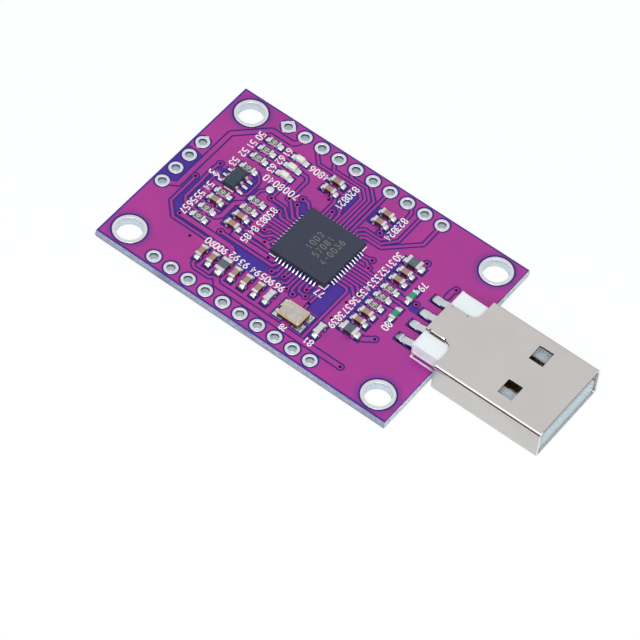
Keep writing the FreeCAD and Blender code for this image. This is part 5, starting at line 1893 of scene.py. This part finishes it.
@dataclass
class SmallParts:
    """All two-ended parts, the lamps, the round test pad and their solder.

    `kinds` names each node, its finish and the width of its rounding; `soldered` the nodes that the
    solder holds.
    """
    finishes: Finishes
    kinds: tuple[tuple[str, str, float], ...] = (
        ("resistor_cores", "fired alumina", 0.03), ("resistor_coats", "black overglaze", 0.02),
        ("resistor_end_caps", "matt tin", 0.05), ("capacitor_cores", "tan dielectric", 0.05),
        ("capacitor_end_caps", "matt tin", 0.06), ("pale_capacitor_cores", "pale dielectric", 0.05),
        ("pale_capacitor_end_caps", "matt tin", 0.06), ("bead_cores", "fired ferrite", 0.06),
        ("bead_end_caps", "matt tin", 0.06), ("green_chip_cores", "green glaze", 0.04),
        ("green_chip_end_caps", "matt tin", 0.05), ("led_cores", "fired alumina", 0.03),
        ("led_end_caps", "matt tin", 0.03), ("led_lenses", "lamp resin", 0.08),
        ("test_pad", "reflowed solder", 0.05))
    soldered: tuple[str, ...] = (
        "resistor_cores", "capacitor_cores", "pale_capacitor_cores", "bead_cores", "green_chip_cores",
        "led_cores")
    mark: Number = Number("101", 0.0, 0.0, Turn.UPRIGHT, 0.46, 0.3)
    mark_stroke: float = 0.12
    mark_height: float = 0.012

    def build(self) -> None:
        """Round and dress each kind of part."""
        for node, finish, width in self.kinds:
            softened(node, self.finishes[finish], width)
        ToeSolder(self.finishes).dress("chip_solder_joints", self.soldered)
        self.values()

    def values(self) -> None:
        """Plain numbers on the resistors' coats, all turned the same way."""
        boxes = islands("resistor_coats")
        ink = Print("resistor_numbers", self.finishes["glaze numerals"], "black_glaze", self.mark_stroke,
                    self.mark_height, max(high.z for _, high in boxes))
        for low, high in boxes:
            along_x = high.x - low.x > high.y - low.y
            item = self.mark if along_x else replace(self.mark, turn=Turn.DOWNWARD)
            ink.number(item, ((low.x + high.x) / 2, (low.y + high.y) / 2))
        ink.build()


@dataclass
class Plug:
    """The plug: folded shell, moulded insulator, four contacts and their solder."""
    finishes: Finishes
    shell_bevel: float = 0.08
    fold_angle: float = 40.0
    insulator_bevel: float = 0.08
    contact_bevel: float = 0.06
    contact_rows: int = 3
    solder_bevel: float = 0.05

    def build(self) -> None:
        """Round and dress the plug's pieces."""
        softened("usb_shell", self.finishes["satin nickel"], self.shell_bevel, sharp=self.fold_angle)
        softened("usb_insulator", self.finishes["moulded nylon"], self.insulator_bevel)
        for node in ("usb_power_contacts", "usb_data_contacts"):
            softened(node, self.finishes["gold flash"], self.contact_bevel, self.contact_rows)
        LegSolder(self.finishes, "leg solder").dress("usb_contact_solder")
        softened("usb_shell_solder", self.finishes["reflowed solder"], self.solder_bevel)


# Studio

@dataclass
class Studio:
    """Camera at the photograph's angle, a pale floor, one soft lamp and a soft sky.

    `light` is the sky's strength by the height of a direction, brightest overhead. `near_wall` and
    `far_wall` are what shiny surfaces see toward `near_way` and elsewhere: near, the dark gap past the
    table's end with its tint, then a bright strip and a dim ceiling; elsewhere pale walls. The tint is
    gone where a wall is as bright as `gap_clear`.
    """
    place_mm: tuple[float, float, float] = (137.470, -212.173, 333.104)
    right: tuple[float, float, float] = (0.79053034, 0.60903005, 0.06437523)
    down: tuple[float, float, float] = (0.52351819, -0.61748109, -0.58706542)
    lens: float = 201.78
    sensor: float = 36.0
    clip_end: float = 10.0
    floor_z: float = -0.35
    floor_half: float = 3000.0
    light: tuple[Point, ...] = ((0.0, 0.35), (0.75, 0.35), (0.95, 0.9))
    near_wall: tuple[Point, ...] = ((0.0, 0.1), (0.5, 0.1), (0.56, 1.7), (0.86, 1.7), (0.92, 0.9))
    far_wall: tuple[Point, ...] = ((0.0, 0.6), (0.5, 0.85), (0.72, 0.82))
    gap_tint: str = "#C8503C"
    gap_clear: float = 0.5
    near_way: tuple[float, float, float] = (-0.5, -0.86, 0.0)
    near_edge: Point = (0.42, 0.56)
    lamp_place: tuple[float, float, float] = (188.0, -290.0, 455.0)
    lamp_side: float = 360.0
    lamp_power: float = 2.15
    paper: Colour = (0.61, 0.655, 0.67, 1.0)
    fibre_size: float = 1.0 / 0.9
    fibre_depth: float = 0.01
    plain: Colour = (1.0, 1.0, 1.0, 1.0)
    white: float = 1.095
    floor_seen: float = 0.8
    floor_mirrored: float = 0.4

    def build(self) -> None:
        """Set the camera, the floor and the lights."""
        self.camera()
        self.floor()
        self.world()
        self.lamp()
        bpy.context.scene.view_settings.view_transform = "Standard"

    def camera(self) -> None:
        """The camera, from a fit to the pin holes in the photograph."""
        data = bpy.data.cameras.new("camera")
        data.lens = self.lens
        data.sensor_width = self.sensor
        data.clip_end = self.clip_end
        right, up = Vector(self.right), -Vector(self.down)
        turn = Matrix((right, up, right.cross(up))).transposed().to_4x4()
        camera = placed("camera", data)
        camera.matrix_world = Matrix.Translation(Vector(self.place_mm) * MM) @ turn
        bpy.context.scene.camera = camera

    def seen(self, tree: Tree, looked_at: float, mirrored: float) -> Socket:
        """Tell rays that look from rays that light.

        Args:
            tree: the tree of the floor or the sky.
            looked_at: the value for rays that look or pass through.
            mirrored: the value for reflections.

        Returns:
            The value, 0 for rays that light.
        """
        ray = add_node(tree, "ShaderNodeLightPath").outputs
        looking = add_node(tree, MATH, {
            0: ray["Is Camera Ray"], 1: ray["Is Transmission Ray"],
        }, operation="MAXIMUM")
        direct = add_node(tree, MATH, {0: looking.outputs[0], 1: looked_at}, operation="MULTIPLY")
        bounced = add_node(tree, MATH, {0: ray["Is Glossy Ray"], 1: mirrored}, operation="MULTIPLY")
        return add_node(tree, MATH, {
            0: direct.outputs[0], 1: bounced.outputs[0],
        }, operation="MAXIMUM").outputs[0]

    def floor(self) -> None:
        """A white floor that keeps a soft part of the module's shadow."""
        half = self.floor_half
        corners = [(x, y, self.floor_z) for x, y in rectangle((-half, -half), (half, half))]
        material = bpy.data.materials.new("paper sweep")
        tree = emptied(material)
        place = add_node(tree, "ShaderNodeTexCoord").outputs["Object"]
        fibre = add_node(tree, NOISE, {"Vector": place, "Scale": 1 / (self.fibre_size * MM)})
        rough = add_node(tree, "ShaderNodeBump", {
            "Height": fibre.outputs["Fac"], "Distance": self.fibre_depth * MM,
        })
        paper = add_node(tree, "ShaderNodeBsdfDiffuse", {
            "Color": self.paper, "Normal": rough.outputs["Normal"],
        })
        white = add_node(tree, "ShaderNodeEmission", {"Color": self.plain, "Strength": self.white})
        mixed = add_node(tree, "ShaderNodeMixShader", {
            0: self.seen(tree, self.floor_seen, self.floor_mirrored), 1: paper.outputs[0],
            2: white.outputs[0],
        })
        add_node(tree, "ShaderNodeOutputMaterial", {"Surface": mixed.outputs[0]})
        mesh_object("floor", corners, [(0, 1, 2, 3)], [material])

    def ramp(self, tree: Tree, height: Socket, steps: tuple[Point, ...]) -> Socket:
        """Strengths by the height of a direction.

        Args:
            tree: the sky's tree.
            height: the upward part of the direction.
            steps: each a height and the strength there, from 0 up.

        Returns:
            The strength.
        """
        made = add_node(tree, "ShaderNodeValToRGB", {"Fac": height})
        stops = made.color_ramp.elements
        peak = max(strength for _, strength in steps)
        for position, strength in steps:
            stop = stops[0] if position == 0.0 else stops.new(position)
            stop.color = (*[strength / peak] * 3, 1.0)
        stops.remove(stops[-1])
        return add_node(tree, MATH, {
            0: made.outputs["Color"], 1: peak,
        }, operation="MULTIPLY").outputs[0]

    def world(self) -> None:
        """A soft sky for light, a plain room for reflections, and white for the camera."""
        world = bpy.data.worlds.new("sky")
        bpy.context.scene.world = world
        tree = emptied(world)
        way = add_node(tree, "ShaderNodeTexCoord").outputs["Generated"]
        height = add_node(tree, AXES, {0: way}).outputs["Z"]
        glossy = add_node(tree, "ShaderNodeLightPath").outputs["Is Glossy Ray"]
        toward = add_node(tree, VECTOR, {0: way, 1: self.near_way}, operation="DOT_PRODUCT")
        share = add_node(tree, SPAN, {
            "Value": toward.outputs["Value"], "From Min": self.near_edge[0], "From Max": self.near_edge[1],
        })
        walls = add_node(tree, MIX, {
            0: share.outputs["Result"], 2: self.ramp(tree, height, self.far_wall),
            3: self.ramp(tree, height, self.near_wall),
        }).outputs[0]
        lit = add_node(tree, MIX, {0: glossy, 2: self.ramp(tree, height, self.light), 3: walls})
        clear = add_node(tree, SPAN, {"Value": walls, "From Max": self.gap_clear})
        tint = add_node(tree, MIX, {
            0: clear.outputs["Result"], 6: linear(self.gap_tint), 7: self.plain,
        }, data_type="RGBA")
        colour = add_node(tree, MIX, {
            0: glossy, 6: self.plain, 7: tint.outputs[2],
        }, data_type="RGBA")
        strength = add_node(tree, MIX, {0: self.seen(tree, 1.0, 0.0), 2: lit.outputs[0], 3: 1.0})
        sky = add_node(tree, "ShaderNodeBackground", {
            "Color": colour.outputs[2], "Strength": strength.outputs[0],
        })
        add_node(tree, "ShaderNodeOutputWorld", {"Surface": sky.outputs[0]})

    def lamp(self) -> None:
        """One large soft lamp above the near side, off the mirror direction of the flat tops."""
        data = bpy.data.lights.new("soft lamp", "AREA")
        data.shape = "SQUARE"
        data.size = self.lamp_side * MM
        data.energy = self.lamp_power
        place = Vector(self.lamp_place) * MM
        turn = place.to_track_quat("Z", "Y").to_matrix().to_4x4()
        placed("soft lamp", data).matrix_world = Matrix.Translation(place) @ turn


def main() -> None:
    """Build the studio and the module's sub-assemblies in order."""
    logging.basicConfig(level=logging.INFO, format="%(name)s: %(message)s")
    Studio().build()
    finishes = Finishes()
    board = CircuitBoard(finishes)
    board.build()
    board.platings()
    BoardPrint(finishes, board).build()
    Chips(finishes).build()
    Crystal(finishes).build()
    SmallParts(finishes).build()
    Plug(finishes).build()


if __name__ == "__main__":
    main()
